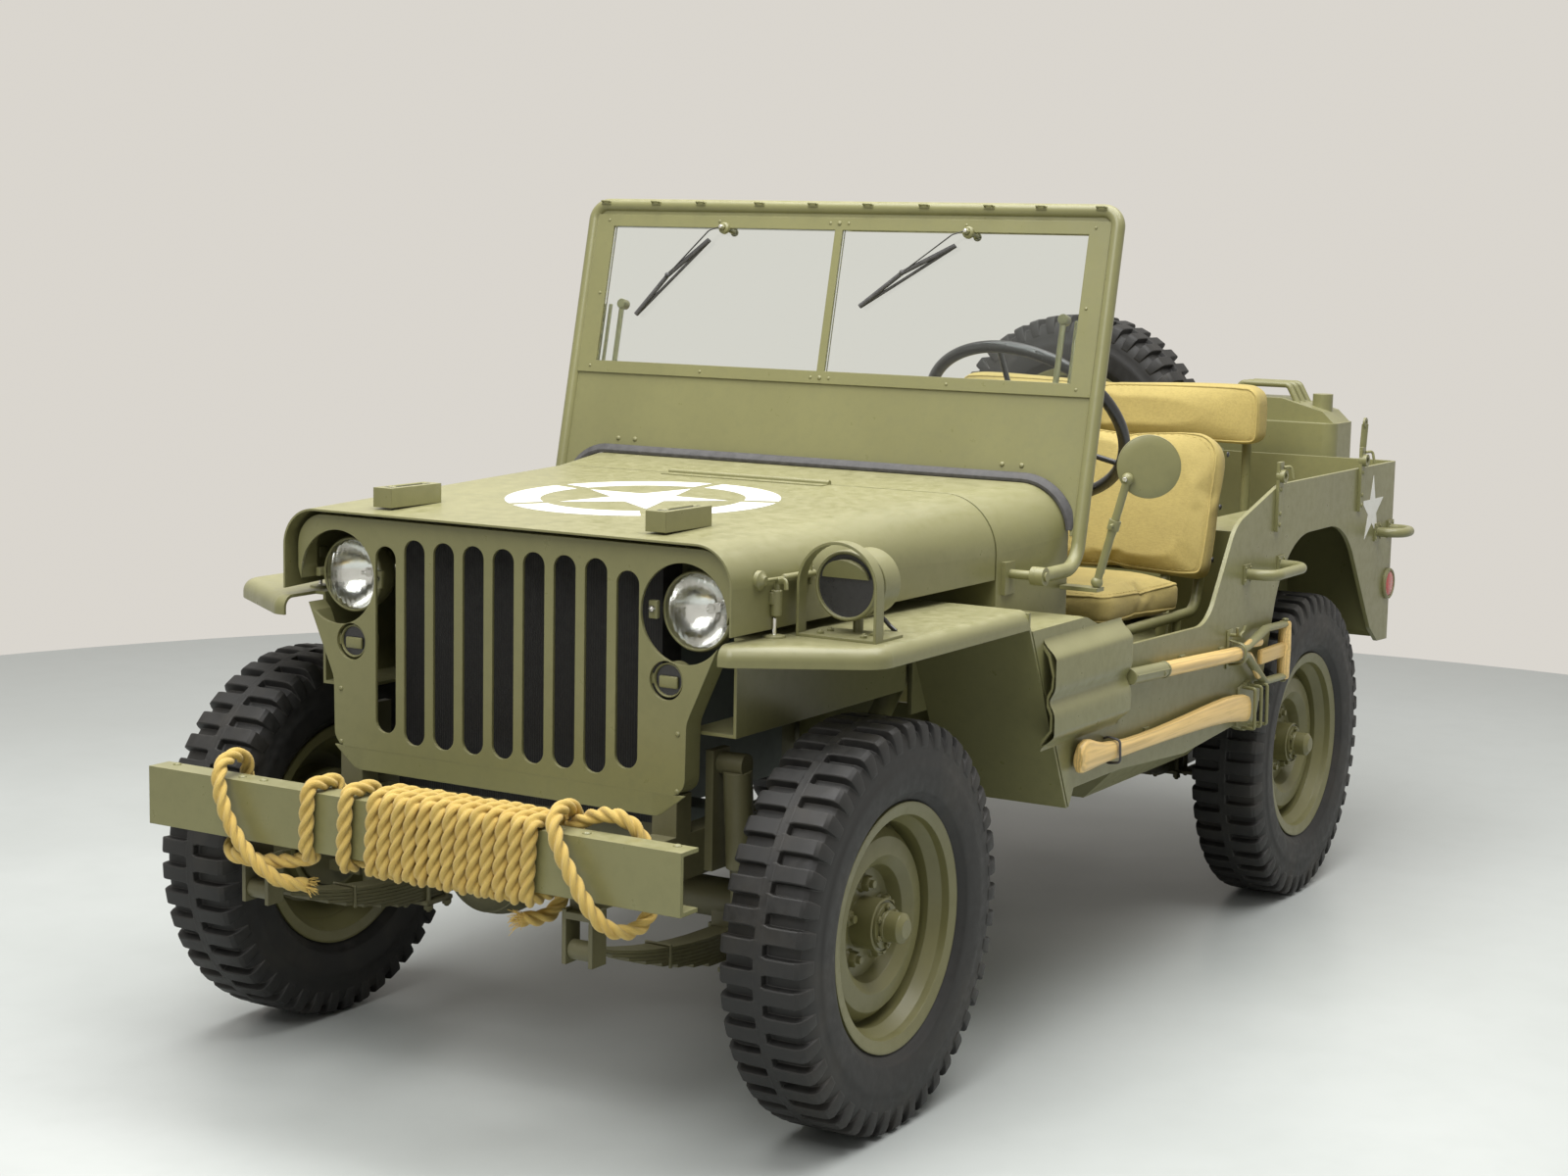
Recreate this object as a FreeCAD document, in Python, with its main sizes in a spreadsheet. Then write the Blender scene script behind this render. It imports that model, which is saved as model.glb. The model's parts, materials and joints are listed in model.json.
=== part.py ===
import FreeCAD, Part
import os
from math import acos, cos, degrees, hypot, pi, radians, sin, tan

import Sketcher
from FreeCAD import Placement, Rotation, Vector

# An open quarter-ton 4x4 scout car. X points forward from the front axle line, Y to the car's own
# left, Z up from the ground. Stations called "aft" are distances behind the front axle. Each node
# is modelled from that line and then moved forward by origin_aft, so that the origin of the whole
# car lies under its middle.

SIZES = {
    # running gear
    "wheelbase": 2032, "track_half": 622.5, "tyre_radius": 362, "tyre_width": 165,
    "tread_lugs": 22, "tread_depth": 17, "tread_lug_share": 0.56, "tread_rib_half": 9,
    "lug_overhang": 6, "lug_reach": 39, "shoulder_drop": 12,
    "origin_aft": 1137, "running_gap": 0.3, "bore_gap": 0.05,
    "rim_seat_radius": 203, "rim_lip_radius": 220, "rim_half_width": 62, "rim_wall": 6,
    "disc_ring_outer": 160, "disc_ring_inner": 104, "disc_ring_crown": 30, "disc_plate": 7,
    "stud_circle_radius": 69.85, "stud_radius": 7, "nut_radius": 12, "nut_height": 14,
    "stud_count": 5, "hub_radius": 46, "hub_reach": 36, "cap_radius": 27, "cap_reach": 82,
    "drum_radius": 122, "drum_back": 35, "bolt_plane": -8,
    "spindle_radius": 20, "backing_plate_radius": 108, "backing_plate": 5,
    # axles, springs and steering
    "kingpin_y": 525, "ball_radius": 50, "kingpin_radius": 11, "kingpin_half": 76,
    "yoke_wall": 20, "axle_tube_radius": 36, "diff_y": -170, "diff_radius": 104,
    "pinion_reach": 190, "pinion_radius": 38, "prop_radius": 25, "prop_flange": 24,
    "spring_y": 350, "leaf_width": 44.5, "front_spring_half": 460, "rear_spring_half": 505,
    "leaf_end": 14, "leaf_middle": 54, "spring_camber": 62, "spring_eye_radius": 17,
    "steer_arm": 150, "tie_rod_z": 418, "tie_rod_radius": 12, "tie_pin_radius": 7,
    "steer_arm_wall": 16, "open_pivot_gap": 1.5,
    "shock_y": 420, "shock_offset": 72, "shock_lean": 33, "shock_radius": 26,
    "shock_eye_radius": 20, "front_shock_top": 635, "rear_shock_top": 500,
    # frame and bumpers
    "rail_inner": 322, "rail_outer": 372, "rail_bottom": 440, "rail_top": 520,
    "frame_aft": 2562, "cross_depth": 50,
    "bumper_face": 512, "bumper_depth": 50, "bumper_half": 572, "bumper_bottom": 473,
    "bumper_top": 578, "bumper_wall": 7, "gusset_reach": 66, "gusset_height": 34,
    "bumperette_reach": 118, "bumperette_inner": 262, "bumperette_outer": 452,
    "bumperette_wall": 8, "pintle_reach": 150, "pintle_bore": 22, "pintle_width": 40,
    "pintle_z": 500,
    # grille and lamps
    "grille_face": 222, "grille_depth": 46, "grille_wall": 6, "grille_bottom": 592,
    "grille_top": 1020, "grille_low_half": 387, "grille_high_half": 474,
    "grille_kink_low": 720, "grille_kink_high": 878, "grille_corner": 60,
    "slot_count": 9, "slot_pitch": 66.5, "slot_width": 47, "slot_low": 612, "slot_high": 988,
    "slot_end_drop": 16, "headlamp_y": 380, "headlamp_z": 907, "headlamp_hole": 87,
    "headlamp_recess": 48, "headlamp_depth": 70,
    "headlamp_radius": 70, "lamp_brace": 8, "marker_y": 347, "marker_z": 790, "marker_hole": 34,
    "marker_radius": 30, "tail_lamp_y": 600, "tail_lamp_z": 690, "tail_lamp_radius": 42,
    "radiator_back": 92, "radiator_depth": 60, "radiator_half": 292, "radiator_top": 985,
    "blackout_gap": 110, "blackout_front": 52, "blackout_z": 957, "blackout_radius": 58,
    "blackout_length": 84, "guard_radius": 78, "guard_strap": 26, "guard_wall": 5,
    "guard_base": 96,
    # hood and cowl
    "hood_front": 245, "hood_front_half": 490, "hood_front_bottom": 880,
    "hood_front_top": 1032, "hood_front_corner": 72, "cowl_seam_aft": 600,
    "hood_rear_half": 560, "hood_rear_bottom": 896, "hood_rear_top": 1056,
    "hood_rear_corner": 112, "hood_wall": 4, "hood_gap": 6,
    "cowl_aft": 824, "cowl_half": 606, "cowl_top": 1066, "cowl_corner": 100, "cowl_wall": 7,
    "dash_low": 904, "shoulder_z": 828, "shoulder_aft": 690, "shoulder_end_aft": 860,
    "shoulder_end_z": 765, "toe_gap": 6, "toe_wing_z": 640, "hinge_radius": 6, "hinge_half": 190,
    "block_front": 190, "block_back": 45, "block_y": 300, "block_width": 42,
    "block_height": 36,
    # tub
    "body_half": 712, "panel_wall": 10, "floor_wall": 6, "rear_floor_z": 585,
    "riser_aft": 1680, "body_aft": 2570, "body_top": 1010, "corner_radius": 22,
    "rear_bottom": 557, "sill_z": 737, "sill_low": 475, "step_aft": 866, "step_z": 498,
    "wheelhouse_inner": 474, "arch_top": 884, "tunnel_half": 130, "tunnel_z": 600,
    "tunnel_aft": 1250,
    "sump_front": 1000, "sump_aft": 1560, "sump_outer": 640, "sump_z": 400,
    # front fenders
    "fender_top": 868, "fender_wall": 6, "fender_lip": 36, "fender_edge": 24,
    "fender_inner": 452, "fender_front": 262, "fender_nose": 122, "fender_aft": 434,
    "skirt_aft": 625, "skirt_bottom": 463, "apron_bottom": 700,
    # windshield
    "pivot_aft": 640, "pivot_z": 905, "pillar_aft": 802, "lean": 12.5, "glass_half": 602,
    "tube_half": 634, "tube_radius": 14, "tube_bend": 60, "top_z": 1605,
    "sash_top": 1583, "sash_bottom": 1236, "sash_bar": 26, "sash_wall": 16,
    "seal_gap": 8, "shield_wall": 7, "pivot_pin_radius": 9, "bracket_wall": 10, "pin_reach": 16,
    # seats and driver's controls
    "driver_y": 398, "passenger_y": -398, "seat_width": 410, "back_width": 466, "seat_front": 1045,
    "seat_aft": 1480, "cushion_z": 742, "cushion_thick": 78, "back_low": 800,
    "back_high": 1130, "back_aft": 1560, "back_lean": 16, "back_thick": 72,
    "seat_tube": 12, "seat_eye": 13, "seat_pin": 6, "rear_seat_half": 400,
    "rear_back_half": 428, "rear_back_aft": 2330, "rear_back_low": 1040, "rear_back_high": 1200,
    "rear_back_thick": 90, "rear_cushion_front": 1880,
    "rear_cushion_z": 770, "rear_cushion_thick": 90, "pad_gap": 0.4,
    "wheel_aft": 1160, "wheel_y": 346, "wheel_z": 1159, "wheel_tilt": 41,
    "steering_radius": 219, "steering_grip": 13, "column_radius": 22, "column_length": 843,
    # fittings
    "handle_standoff": 75, "handle_radius": 12, "side_handle_aft": 1643, "side_handle_z": 825,
    "rear_handle_aft": 2500, "rear_handle_z": 841, "handle_span": 210,
    "bow_front_aft": 1712, "bow_rear_aft": 2280, "bow_low": 905, "bow_high": 1062,
    "bow_bar": 26, "bow_thick": 8, "bow_bore": 8, "bow_boss": 15,
    "mirror_back": 13, "mirror_y": 767, "mirror_z": 1112, "mirror_radius": 62,
    "mirror_turn": 25, "mirror_thick": 14, "mirror_arm": 8, "mirror_ball_radius": 12,
    "mirror_ball_y": 736, "mirror_ball_z": 1088, "mirror_foot_y": 679, "mirror_foot_z": 880,
    "spare_y": -230, "spare_aft": 2700, "spare_z": 985,
    "can_y": 352, "can_width": 345, "can_depth": 165, "can_bottom": 722, "can_top": 1150,
    "can_aft": 2700, "can_tray": 8, "can_corner": 34,
    "shovel_z": 690, "shovel_fall": 0.0494, "shovel_socket_aft": 1036, "shovel_grip_aft": 1451,
    "shovel_end_aft": 1741, "shovel_end_z": 632, "shovel_end_half": 60, "shovel_bend_aft": 1618,
    "shovel_fork": 9, "blade_front": 560, "blade_back": 820, "blade_half": 56, "blade_thick": 5,
    "axe_front": 634, "axe_aft": 1530, "axe_z": 548, "axe_half": 20, "axe_thick": 26,
    "axe_head_half": 60, "axe_head_aft": 1625, "tool_radius": 16, "tool_gap": 5,
    "pocket_front": 500, "pocket_aft": 853, "pocket_wall": 4,
    "gearbox_aft": 1160, "gearbox_bottom": 464, "gearbox_front": 560, "gearbox_half": 95,
    "transfer_length": 160, "lever_radius": 8,
    "engine_front": 52, "engine_aft": 520, "engine_half": 135, "engine_bottom": 480,
    "engine_top": 850, "engine_mount_aft": 70, "bell_aft": 600,
    "exhaust_y": -500, "exhaust_z": 430, "muffler_aft": 1480, "muffler_length": 420,
    "muffler_radius": 56, "pipe_radius": 20, "downpipe_y": -220, "downpipe_z": 474,
    "tailpipe_aft": 1600, "tailpipe_y": -700,
    # rope on the front bumper
    "rope_radius": 14, "wind_right": -63, "wind_left": 297, "single_turn_a": -102,
    "single_turn_b": -186,
}

doc = FreeCAD.newDocument("ScoutCar")
sheet = doc.addObject("Spreadsheet::Sheet", "Sizes")
for row, (alias, value) in enumerate(SIZES.items(), start=1):
    sheet.set(f"A{row}", alias)
    sheet.set(f"B{row}", str(value))
    sheet.setAlias(f"B{row}", alias)
doc.recompute()


class Dim:
    """A number that remembers the sheet expression it came from, so that features stay live."""

    def __init__(self, value, text):
        self.value = float(value)
        self.text = text

    def __float__(self):
        return self.value

    def __neg__(self):
        return Dim(-self.value, f"(-1 * {self.text})")

    def __add__(self, other):
        return Dim(self.value + float(other), f"({self.text} + {dim(other).text})")

    def __sub__(self, other):
        return Dim(self.value - float(other), f"({self.text} - {dim(other).text})")

    def __mul__(self, other):
        return Dim(self.value * float(other), f"({self.text} * {dim(other).text})")

    def __truediv__(self, other):
        return Dim(self.value / float(other), f"({self.text} / {dim(other).text})")

    def __radd__(self, other):
        return dim(other) + self

    def __rsub__(self, other):
        return dim(other) - self

    def __rmul__(self, other):
        return dim(other) * self

    def __rtruediv__(self, other):
        return dim(other) / self


def dim(value):
    return value if isinstance(value, Dim) else Dim(value, f"{float(value):.6f}")


def sine(angle):
    return Dim(sin(radians(float(angle))), f"sin({dim(angle).text})")


def cosine(angle):
    return Dim(cos(radians(float(angle))), f"cos({dim(angle).text})")


class Sheet:
    """The sheet's aliases as attributes, each a Dim."""

    def __init__(self, names):
        for name in names:
            setattr(self, name, Dim(getattr(sheet, name), f"Sizes.{name}"))


s = Sheet(SIZES)
axle_z = s.tyre_radius
rear_x = -s.wheelbase


# ---------------------------------------------------------------- helpers

AXIS_ROTATION = {
    "X": Rotation(Vector(0, 1, 0), 90),
    "Y": Rotation(Vector(1, 0, 0), -90),
    "Z": Rotation(),
}
SKETCH_ROTATION = {
    "XY": Rotation(),
    "XZ": Rotation(Vector(1, 0, 0), 90),
    "YZ": Rotation(Vector(1, 1, 1), 120),
}
NORMAL = {"XY": Vector(0, 0, 1), "XZ": Vector(0, 1, 0), "YZ": Vector(1, 0, 0)}
NORMAL_LETTER = {"XY": "z", "XZ": "y", "YZ": "x"}
nodes = {}


def vector(at):
    return Vector(*[float(v) for v in at])


def bind(obj, prop, value):
    obj.setExpression(prop, dim(value).text)


def place(obj, at, rotation=Rotation()):
    obj.Placement = Placement(vector(at), rotation)
    for letter, value in zip("xyz", at):
        bind(obj, f"Placement.Base.{letter}", value)
    return obj


def box(x, y, z):
    """A block between the low and high value on each axis."""
    obj = doc.addObject("Part::Box", "Block")
    for prop, (low, high) in zip(("Length", "Width", "Height"), (x, y, z)):
        bind(obj, prop, dim(high) - low)
    return place(obj, (x[0], y[0], z[0]))


def cylinder(radius, at, axis, length, rotation=None):
    """A round bar from a point along an axis letter, or along its own rotated Z."""
    obj = doc.addObject("Part::Cylinder", "Round")
    bind(obj, "Radius", radius)
    bind(obj, "Height", length)
    return place(obj, at, rotation or AXIS_ROTATION[axis])


def ball(radius, at):
    """A ball with its poles along Y."""
    obj = doc.addObject("Part::Sphere", "Ball")
    bind(obj, "Radius", radius)
    return place(obj, at, AXIS_ROTATION["Y"])


def torus(ring, section, at, rotation=Rotation()):
    obj = doc.addObject("Part::Torus", "Ring")
    bind(obj, "Radius1", ring)
    bind(obj, "Radius2", section)
    return place(obj, at, rotation)


def sketch(plane, points, at=(0, 0, 0)):
    """A closed outline whose corners are held by the sheet."""
    obj = doc.addObject("Sketcher::SketchObject", "Outline")
    flat = [Vector(float(u), float(v), 0) for u, v in points]
    count = len(flat)
    obj.addGeometry([Part.LineSegment(flat[i], flat[(i + 1) % count]) for i in range(count)])
    rules = [Sketcher.Constraint("Coincident", i, 2, (i + 1) % count, 1) for i in range(count)]
    for i, corner in enumerate(flat):
        rules.append(Sketcher.Constraint("DistanceX", -1, 1, i, 1, corner.x))
        rules.append(Sketcher.Constraint("DistanceY", -1, 1, i, 1, corner.y))
    obj.addConstraint(rules)
    for i, (u, v) in enumerate(points):
        bind(obj, f"Constraints[{count + 2 * i}]", u)
        bind(obj, f"Constraints[{count + 2 * i + 1}]", v)
    return place(obj, at, SKETCH_ROTATION[plane])


def fillet(base, radius, chosen):
    """Rounds the edges that chosen(edge) picks."""
    base.recompute()
    picks = [i for i, edge in enumerate(base.Shape.Edges, start=1) if chosen(edge)]
    obj = doc.addObject("Part::Fillet", "Rounded")
    obj.Base = base
    obj.Edges = [(i, float(radius), float(radius)) for i in picks]
    return obj


def extrude(plane, points, span, radii=()):
    """A prism of the outline over span, its corners rounded where radii gives (corner, radius)."""
    low, high = span
    at = {"x": 0, "y": 0, "z": 0}
    at[NORMAL_LETTER[plane]] = low
    outline = sketch(plane, points, (at["x"], at["y"], at["z"]))
    obj = doc.addObject("Part::Extrusion", "Prism")
    obj.Base = outline
    obj.DirMode = "Custom"
    obj.Dir = NORMAL[plane]
    obj.Solid = True
    bind(obj, "LengthFwd", dim(high) - low)
    if not radii:
        return obj
    outline.recompute()
    obj.recompute()
    edges = []
    for index, radius in radii:
        u, v = points[index]
        corner = outline.Placement.multVec(Vector(float(u), float(v), 0))
        for number, edge in enumerate(obj.Shape.Edges, start=1):
            run = edge.Vertexes[-1].Point - edge.Vertexes[0].Point
            along = abs(run.normalize().dot(NORMAL[plane])) > 0.999
            if along and edge.Vertexes[0].Point.distanceToLine(corner, NORMAL[plane]) < 0.01:
                edges.append((number, float(radius), float(radius)))
    rounded = doc.addObject("Part::Fillet", "Rounded")
    rounded.Base = obj
    rounded.Edges = edges
    return rounded


def revolve(points, at, rotation=Rotation()):
    """Turns a half outline of (along Y, radius) corners about the Y line through a point."""
    outline = sketch("YZ", points)
    obj = doc.addObject("Part::Revolution", "Turned")
    obj.Source = outline
    obj.Axis = Vector(0, 1, 0)
    obj.Base = Vector(0, 0, 0)
    obj.Angle = 360
    obj.Solid = True
    holder = doc.addObject("Part::Compound", "Seated")
    holder.Links = [obj]
    return place(holder, at, rotation)


def shape_feature(shape, name="Formed"):
    obj = doc.addObject("Part::Feature", name)
    obj.Shape = shape
    return obj


def fuse(*parts):
    if len(parts) == 1:
        return parts[0]
    obj = doc.addObject("Part::MultiFuse", "Joined")
    obj.Shapes = list(parts)
    obj.Refine = True
    return obj


def cut(base, *tools):
    obj = doc.addObject("Part::Cut", "Trimmed")
    obj.Base = base
    obj.Tool = fuse(*tools)
    return obj


def common(first, second):
    obj = doc.addObject("Part::Common", "Shared")
    obj.Base = first
    obj.Tool = second
    return obj


def mirrored(source):
    """The same piece on the other side of the car."""
    obj = doc.addObject("Part::Mirroring", "Opposite")
    obj.Source = source
    obj.Normal = Vector(0, 1, 0)
    obj.Base = Vector(0, 0, 0)
    return obj


def copy_at(source, at, rotation=Rotation()):
    obj = doc.addObject("Part::Compound", "Copy")
    obj.Links = [source]
    return place(obj, at, rotation)


def node(name, *parts):
    """Names a finished piece and moves it from the front axle's frame to the car's origin."""
    obj = doc.addObject("Part::Compound", "Node")
    obj.Links = list(parts)
    obj.Label = name
    place(obj, (s.origin_aft, 0, 0))
    nodes[name] = obj
    return obj


def rounded_path(points, bend):
    """Straight runs joined by tangent arcs of one radius, as edges, with their radii."""
    corners = [vector(p) for p in points]
    edges = []
    start = corners[0]
    for i in range(1, len(corners) - 1):
        here = corners[i]
        into = (here - corners[i - 1]).normalize()
        out = (corners[i + 1] - here).normalize()
        turn = acos(max(-1.0, min(1.0, into.dot(out))))
        trim = float(bend[i - 1]) * tan(turn / 2)
        first = here - into * trim
        last = here + out * trim
        centre_way = (out - into).normalize()
        reach = hypot(float(bend[i - 1]), trim) - float(bend[i - 1])
        if (first - start).Length > 1e-6:
            edges.append(Part.LineSegment(start, first).toShape())
        edges.append(Part.Arc(first, here + centre_way * reach, last).toShape())
        start = last
    edges.append(Part.LineSegment(start, corners[-1]).toShape())
    return edges


def tube(points, radius, bend, wall=None):
    """A bent round tube along straight runs and tangent arcs."""
    bends = bend if isinstance(bend, (list, tuple)) else [bend] * (len(points) - 2)
    edges = rounded_path(points, bends)
    spine = Part.Wire(edges)
    way = vector(points[1]) - vector(points[0])
    section = Part.Wire(Part.Circle(vector(points[0]), way, float(radius)).toShape())
    return shape_feature(spine.makePipeShell([section], True, True), "Tube")


def hood_section(x, half, bottom, top, corner):
    """The closed outline of the hood or cowl at one station, open side down."""
    x, half, bottom, top, corner = (float(v) for v in (x, half, bottom, top, corner))
    lean = corner * (1 - cos(pi / 4))
    right = [Vector(x, -half, bottom), Vector(x, -half, top - corner)]
    left = [Vector(x, half, top - corner), Vector(x, half, bottom)]
    right_arc = [Vector(x, -half + lean, top - lean), Vector(x, -half + corner, top)]
    left_arc = [Vector(x, half - lean, top - lean), Vector(x, half - corner, top)]
    return Part.Wire([
        Part.LineSegment(right[0], right[1]).toShape(),
        Part.Arc(right[1], right_arc[0], right_arc[1]).toShape(),
        Part.LineSegment(right_arc[1], left_arc[1]).toShape(),
        Part.Arc(left_arc[1], left_arc[0], left[0]).toShape(),
        Part.LineSegment(left[0], left[1]).toShape(),
        Part.LineSegment(left[1], right[0]).toShape(),
    ])


def both(y):
    """The same distance to the left and to the right of the centre line."""
    return (dim(y), -dim(y))


# ---------------------------------------------------------------- wheels and tyres


def wheel_shape():
    """Rim, pressed disc, hub, drum and nuts, outboard side towards +Y, centred on its axle."""
    seat = s.rim_seat_radius
    wall = s.rim_wall
    edge = s.rim_half_width
    plane = s.bolt_plane
    rim = revolve([
        (-edge, seat - wall), (-edge + 40, seat - wall - 16), (edge - 34, seat - wall - 16),
        (edge - 14, seat - wall - 2), (edge, seat - wall), (edge + 4, s.rim_lip_radius - 4),
        (edge + 4, s.rim_lip_radius), (edge - 2, s.rim_lip_radius), (edge - 4, seat),
        (-edge + 4, seat), (-edge + 2, s.rim_lip_radius), (-edge - 4, s.rim_lip_radius),
        (-edge - 4, s.rim_lip_radius - 4),
    ], (0, 0, 0))
    disc = revolve([
        (plane, 30), (plane, s.disc_ring_inner - 8), (s.disc_ring_crown - 14, s.disc_ring_inner),
        (s.disc_ring_crown, s.disc_ring_inner + 18), (s.disc_ring_crown - 4, s.disc_ring_outer - 6),
        (s.disc_ring_crown - 18, s.disc_ring_outer + 8), (plane - 6, seat - wall - 12),
        (plane - 16, seat - wall - 12), (s.disc_ring_crown - 24, s.disc_ring_outer),
        (s.disc_ring_crown - s.disc_plate - 4, s.disc_ring_outer - 10),
        (s.disc_ring_crown - s.disc_plate, s.disc_ring_inner + 22),
        (s.disc_ring_crown - 14 - s.disc_plate, s.disc_ring_inner + 7),
        (plane - s.disc_plate, s.disc_ring_inner), (plane - s.disc_plate, 30),
    ], (0, 0, 0))
    hub = revolve([
        (-s.drum_back, 30), (-s.drum_back, s.hub_radius - 4), (plane, s.hub_radius - 4),
        (plane, s.hub_radius), (s.hub_reach, s.hub_radius), (s.hub_reach, s.hub_radius - 6),
        (s.hub_reach + 6, s.hub_radius - 6), (s.hub_reach + 6, s.cap_radius),
        (s.cap_reach - 8, s.cap_radius), (s.cap_reach, s.cap_radius - 10), (s.cap_reach, 0),
        (plane - 6, 0), (plane - 6, s.spindle_radius + s.bore_gap),
        (-s.drum_back, s.spindle_radius + s.bore_gap),
    ], (0, 0, 0))
    drum = revolve([
        (plane - s.disc_plate - 6, 30), (plane - s.disc_plate, 30),
        (plane - s.disc_plate, s.drum_radius), (-s.drum_back, s.drum_radius),
        (-s.drum_back, s.drum_radius - 12), (plane - s.disc_plate - 6, s.drum_radius - 12),
    ], (0, 0, 0))
    parts = [rim, disc, hub, drum]
    for i in range(int(s.stud_count.value)):
        turn = 360 / s.stud_count * i + 90
        x = s.stud_circle_radius * cosine(turn)
        z = s.stud_circle_radius * sine(turn)
        parts.append(cylinder(s.nut_radius, (x, plane, z), "Y", s.nut_height))
        parts.append(cylinder(s.stud_radius, (x, plane, z), "Y", s.nut_height + 8))
    return fuse(*parts)


def wheel_point(turn, along, radius):
    """A point about the Y line at an angle in degrees."""
    return Vector(float(radius) * cos(radians(turn)), float(along), float(radius) * sin(radians(turn)))


def flat_face(*corners):
    points = [wheel_point(*corner) for corner in corners]
    return Part.Face(Part.makePolygon(points + points[:1]))


def strip(upper, lower):
    """Triangles between two closed rings of (turn, along, radius), each listed by rising turn."""
    faces = []
    i = j = 0
    while i < len(upper) or j < len(lower):
        above, above_next = upper[i % len(upper)], upper[(i + 1) % len(upper)]
        below, below_next = lower[j % len(lower)], lower[(j + 1) % len(lower)]
        above_turn = above_next[0] + 360 * ((i + 1) // len(upper))
        below_turn = below_next[0] + 360 * ((j + 1) // len(lower))
        if j >= len(lower) or (i < len(upper) and above_turn <= below_turn):
            faces.append(flat_face(above, above_next, below))
            i += 1
        else:
            faces.append(flat_face(above, below_next, below))
            j += 1
    return faces


def tyre_shape():
    """Faceted carcass with a centre rib and two rows of lugs half a pitch apart, as one solid."""
    half = s.tyre_width / 2
    tip = s.tyre_radius
    root = tip - s.tread_depth
    count = int(s.tread_lugs.value)
    pitch = 360 / count
    lug = s.tread_lug_share.value * pitch / 2
    first = -90 - pitch / 4
    bead = (s.rim_seat_radius + s.running_gap) / cos(pi / count)
    lip = (s.rim_lip_radius + s.running_gap) / cos(pi / count)
    turns = [first + pitch * k for k in range(count)]
    faces = []
    crown = {}
    seats = {}
    for way in (1, -1):
        rib, side = s.tread_rib_half * way, (half - s.shoulder_drop) * way
        end, low = (half - s.lug_overhang) * way, (half - s.lug_overhang / 2) * way
        low_radius = tip - s.lug_reach
        starts = [turn + (0 if way > 0 else pitch / 2) - lug for turn in turns]
        edge = []
        crown[way] = []
        for k in range(count):
            start, stop = starts[k], starts[k] + 2 * lug
            after = start + pitch
            faces.append(flat_face((start, rib, tip), (stop, rib, tip), (stop, end, tip), (start, end, tip)))
            faces.append(flat_face((start, end, tip), (stop, end, tip), (stop, low, low_radius),
                                   (start, low, low_radius)))
            for turn in (start, stop):
                faces.append(flat_face((turn, rib, tip), (turn, end, tip), (turn, low, low_radius),
                                       (turn, side, root), (turn, rib, root)))
            faces.append(flat_face((stop, rib, root), (after, rib, root), (after, side, root),
                                   (stop, side, root)))
            faces.append(flat_face((stop, rib, tip), (after, rib, tip), (after, rib, root),
                                   (stop, rib, root)))
            edge += [(start, low, low_radius), (stop, low, low_radius), (stop, side, root),
                     (after, side, root)]
            crown[way] += [(start, rib, tip), (stop, rib, tip)]
        rings = [edge] + [[(turn, along * way, radius) for turn in turns]
                          for along, radius in ((half, lip + 58), (s.rim_half_width - 4.5, lip),
                                                (s.rim_half_width - 4.5, bead))]
        for upper, lower in zip(rings, rings[1:]):
            faces += strip(upper, lower)
        seats[way] = rings[-1]
    faces += strip(crown[1], crown[-1]) + strip(seats[1], seats[-1])
    solid = Part.makeSolid(Part.makeShell(faces))
    return shape_feature(solid.removeSplitter(), "Tyre")


def wheels_and_tyres():
    wheel = wheel_shape()
    tyre = tyre_shape()
    outward = {"left": Rotation(), "right": Rotation(Vector(0, 0, 1), 180)}
    for axle, x in (("front", dim(0)), ("rear", rear_x)):
        for side, y in zip(("left", "right"), both(s.track_half)):
            seat = (x, y, axle_z)
            node(f"wheel_{axle}_{side}", copy_at(wheel, seat, outward[side]))
            node(f"tyre_{axle}_{side}", copy_at(tyre, seat))
    spare = (-s.spare_aft, s.spare_y, s.spare_z)
    backward = Rotation(Vector(0, 0, 1), 90)
    node("spare_wheel", copy_at(wheel, spare, backward))
    node("spare_tyre", copy_at(tyre, spare, backward))


# ---------------------------------------------------------------- axles, springs, steering


def axle_pad(x, y):
    """The seat that rests on the spring's top leaf."""
    return box((x - 32, x + 32), (y - 25, y + 25), (spring_top(), axle_z))


def spring_top():
    return axle_z - s.axle_tube_radius - 8


def axles():
    ends = []
    for y in both(s.kingpin_y):
        ends.append(ball(s.ball_radius, (0, y, axle_z)))
        ends.append(cylinder(s.kingpin_radius, (0, y, axle_z - s.kingpin_half), "Z", s.kingpin_half * 2))
    ends += [axle_pad(dim(0), y) for y in both(s.spring_y)]
    tube_front = cylinder(s.axle_tube_radius, (0, -s.kingpin_y, axle_z), "Y", s.kingpin_y * 2)
    pinion = cylinder(s.pinion_radius, (-s.pinion_reach, s.diff_y, axle_z), "X", s.pinion_reach)
    cover = cylinder(s.diff_radius - 12, (-42, s.diff_y, axle_z), "X", 96)
    node("front_axle", fuse(tube_front, ball(s.diff_radius, (0, s.diff_y, axle_z)), cover, pinion, *ends))

    plate_y = s.track_half - s.drum_back - 5.5
    ends = []
    for y, way in zip(both(plate_y), (1, -1)):
        start = plate_y - s.backing_plate if way > 0 else -plate_y
        ends.append(cylinder(s.backing_plate_radius, (rear_x, start, axle_z), "Y", s.backing_plate))
    reach = s.track_half + s.bolt_plane - 8
    spindle = cylinder(s.spindle_radius, (rear_x, -reach, axle_z), "Y", reach * 2)
    tube_rear = cylinder(s.axle_tube_radius, (rear_x, -plate_y, axle_z), "Y", plate_y * 2)
    ends += [axle_pad(rear_x, y) for y in both(s.spring_y)]
    pinion = cylinder(s.pinion_radius, (rear_x, s.diff_y, axle_z), "X", s.pinion_reach)
    cover = cylinder(s.diff_radius - 12, (rear_x - 54, s.diff_y, axle_z), "X", 96)
    node("rear_axle", fuse(tube_rear, spindle, ball(s.diff_radius, (rear_x, s.diff_y, axle_z)),
                           cover, pinion, *ends))


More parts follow.
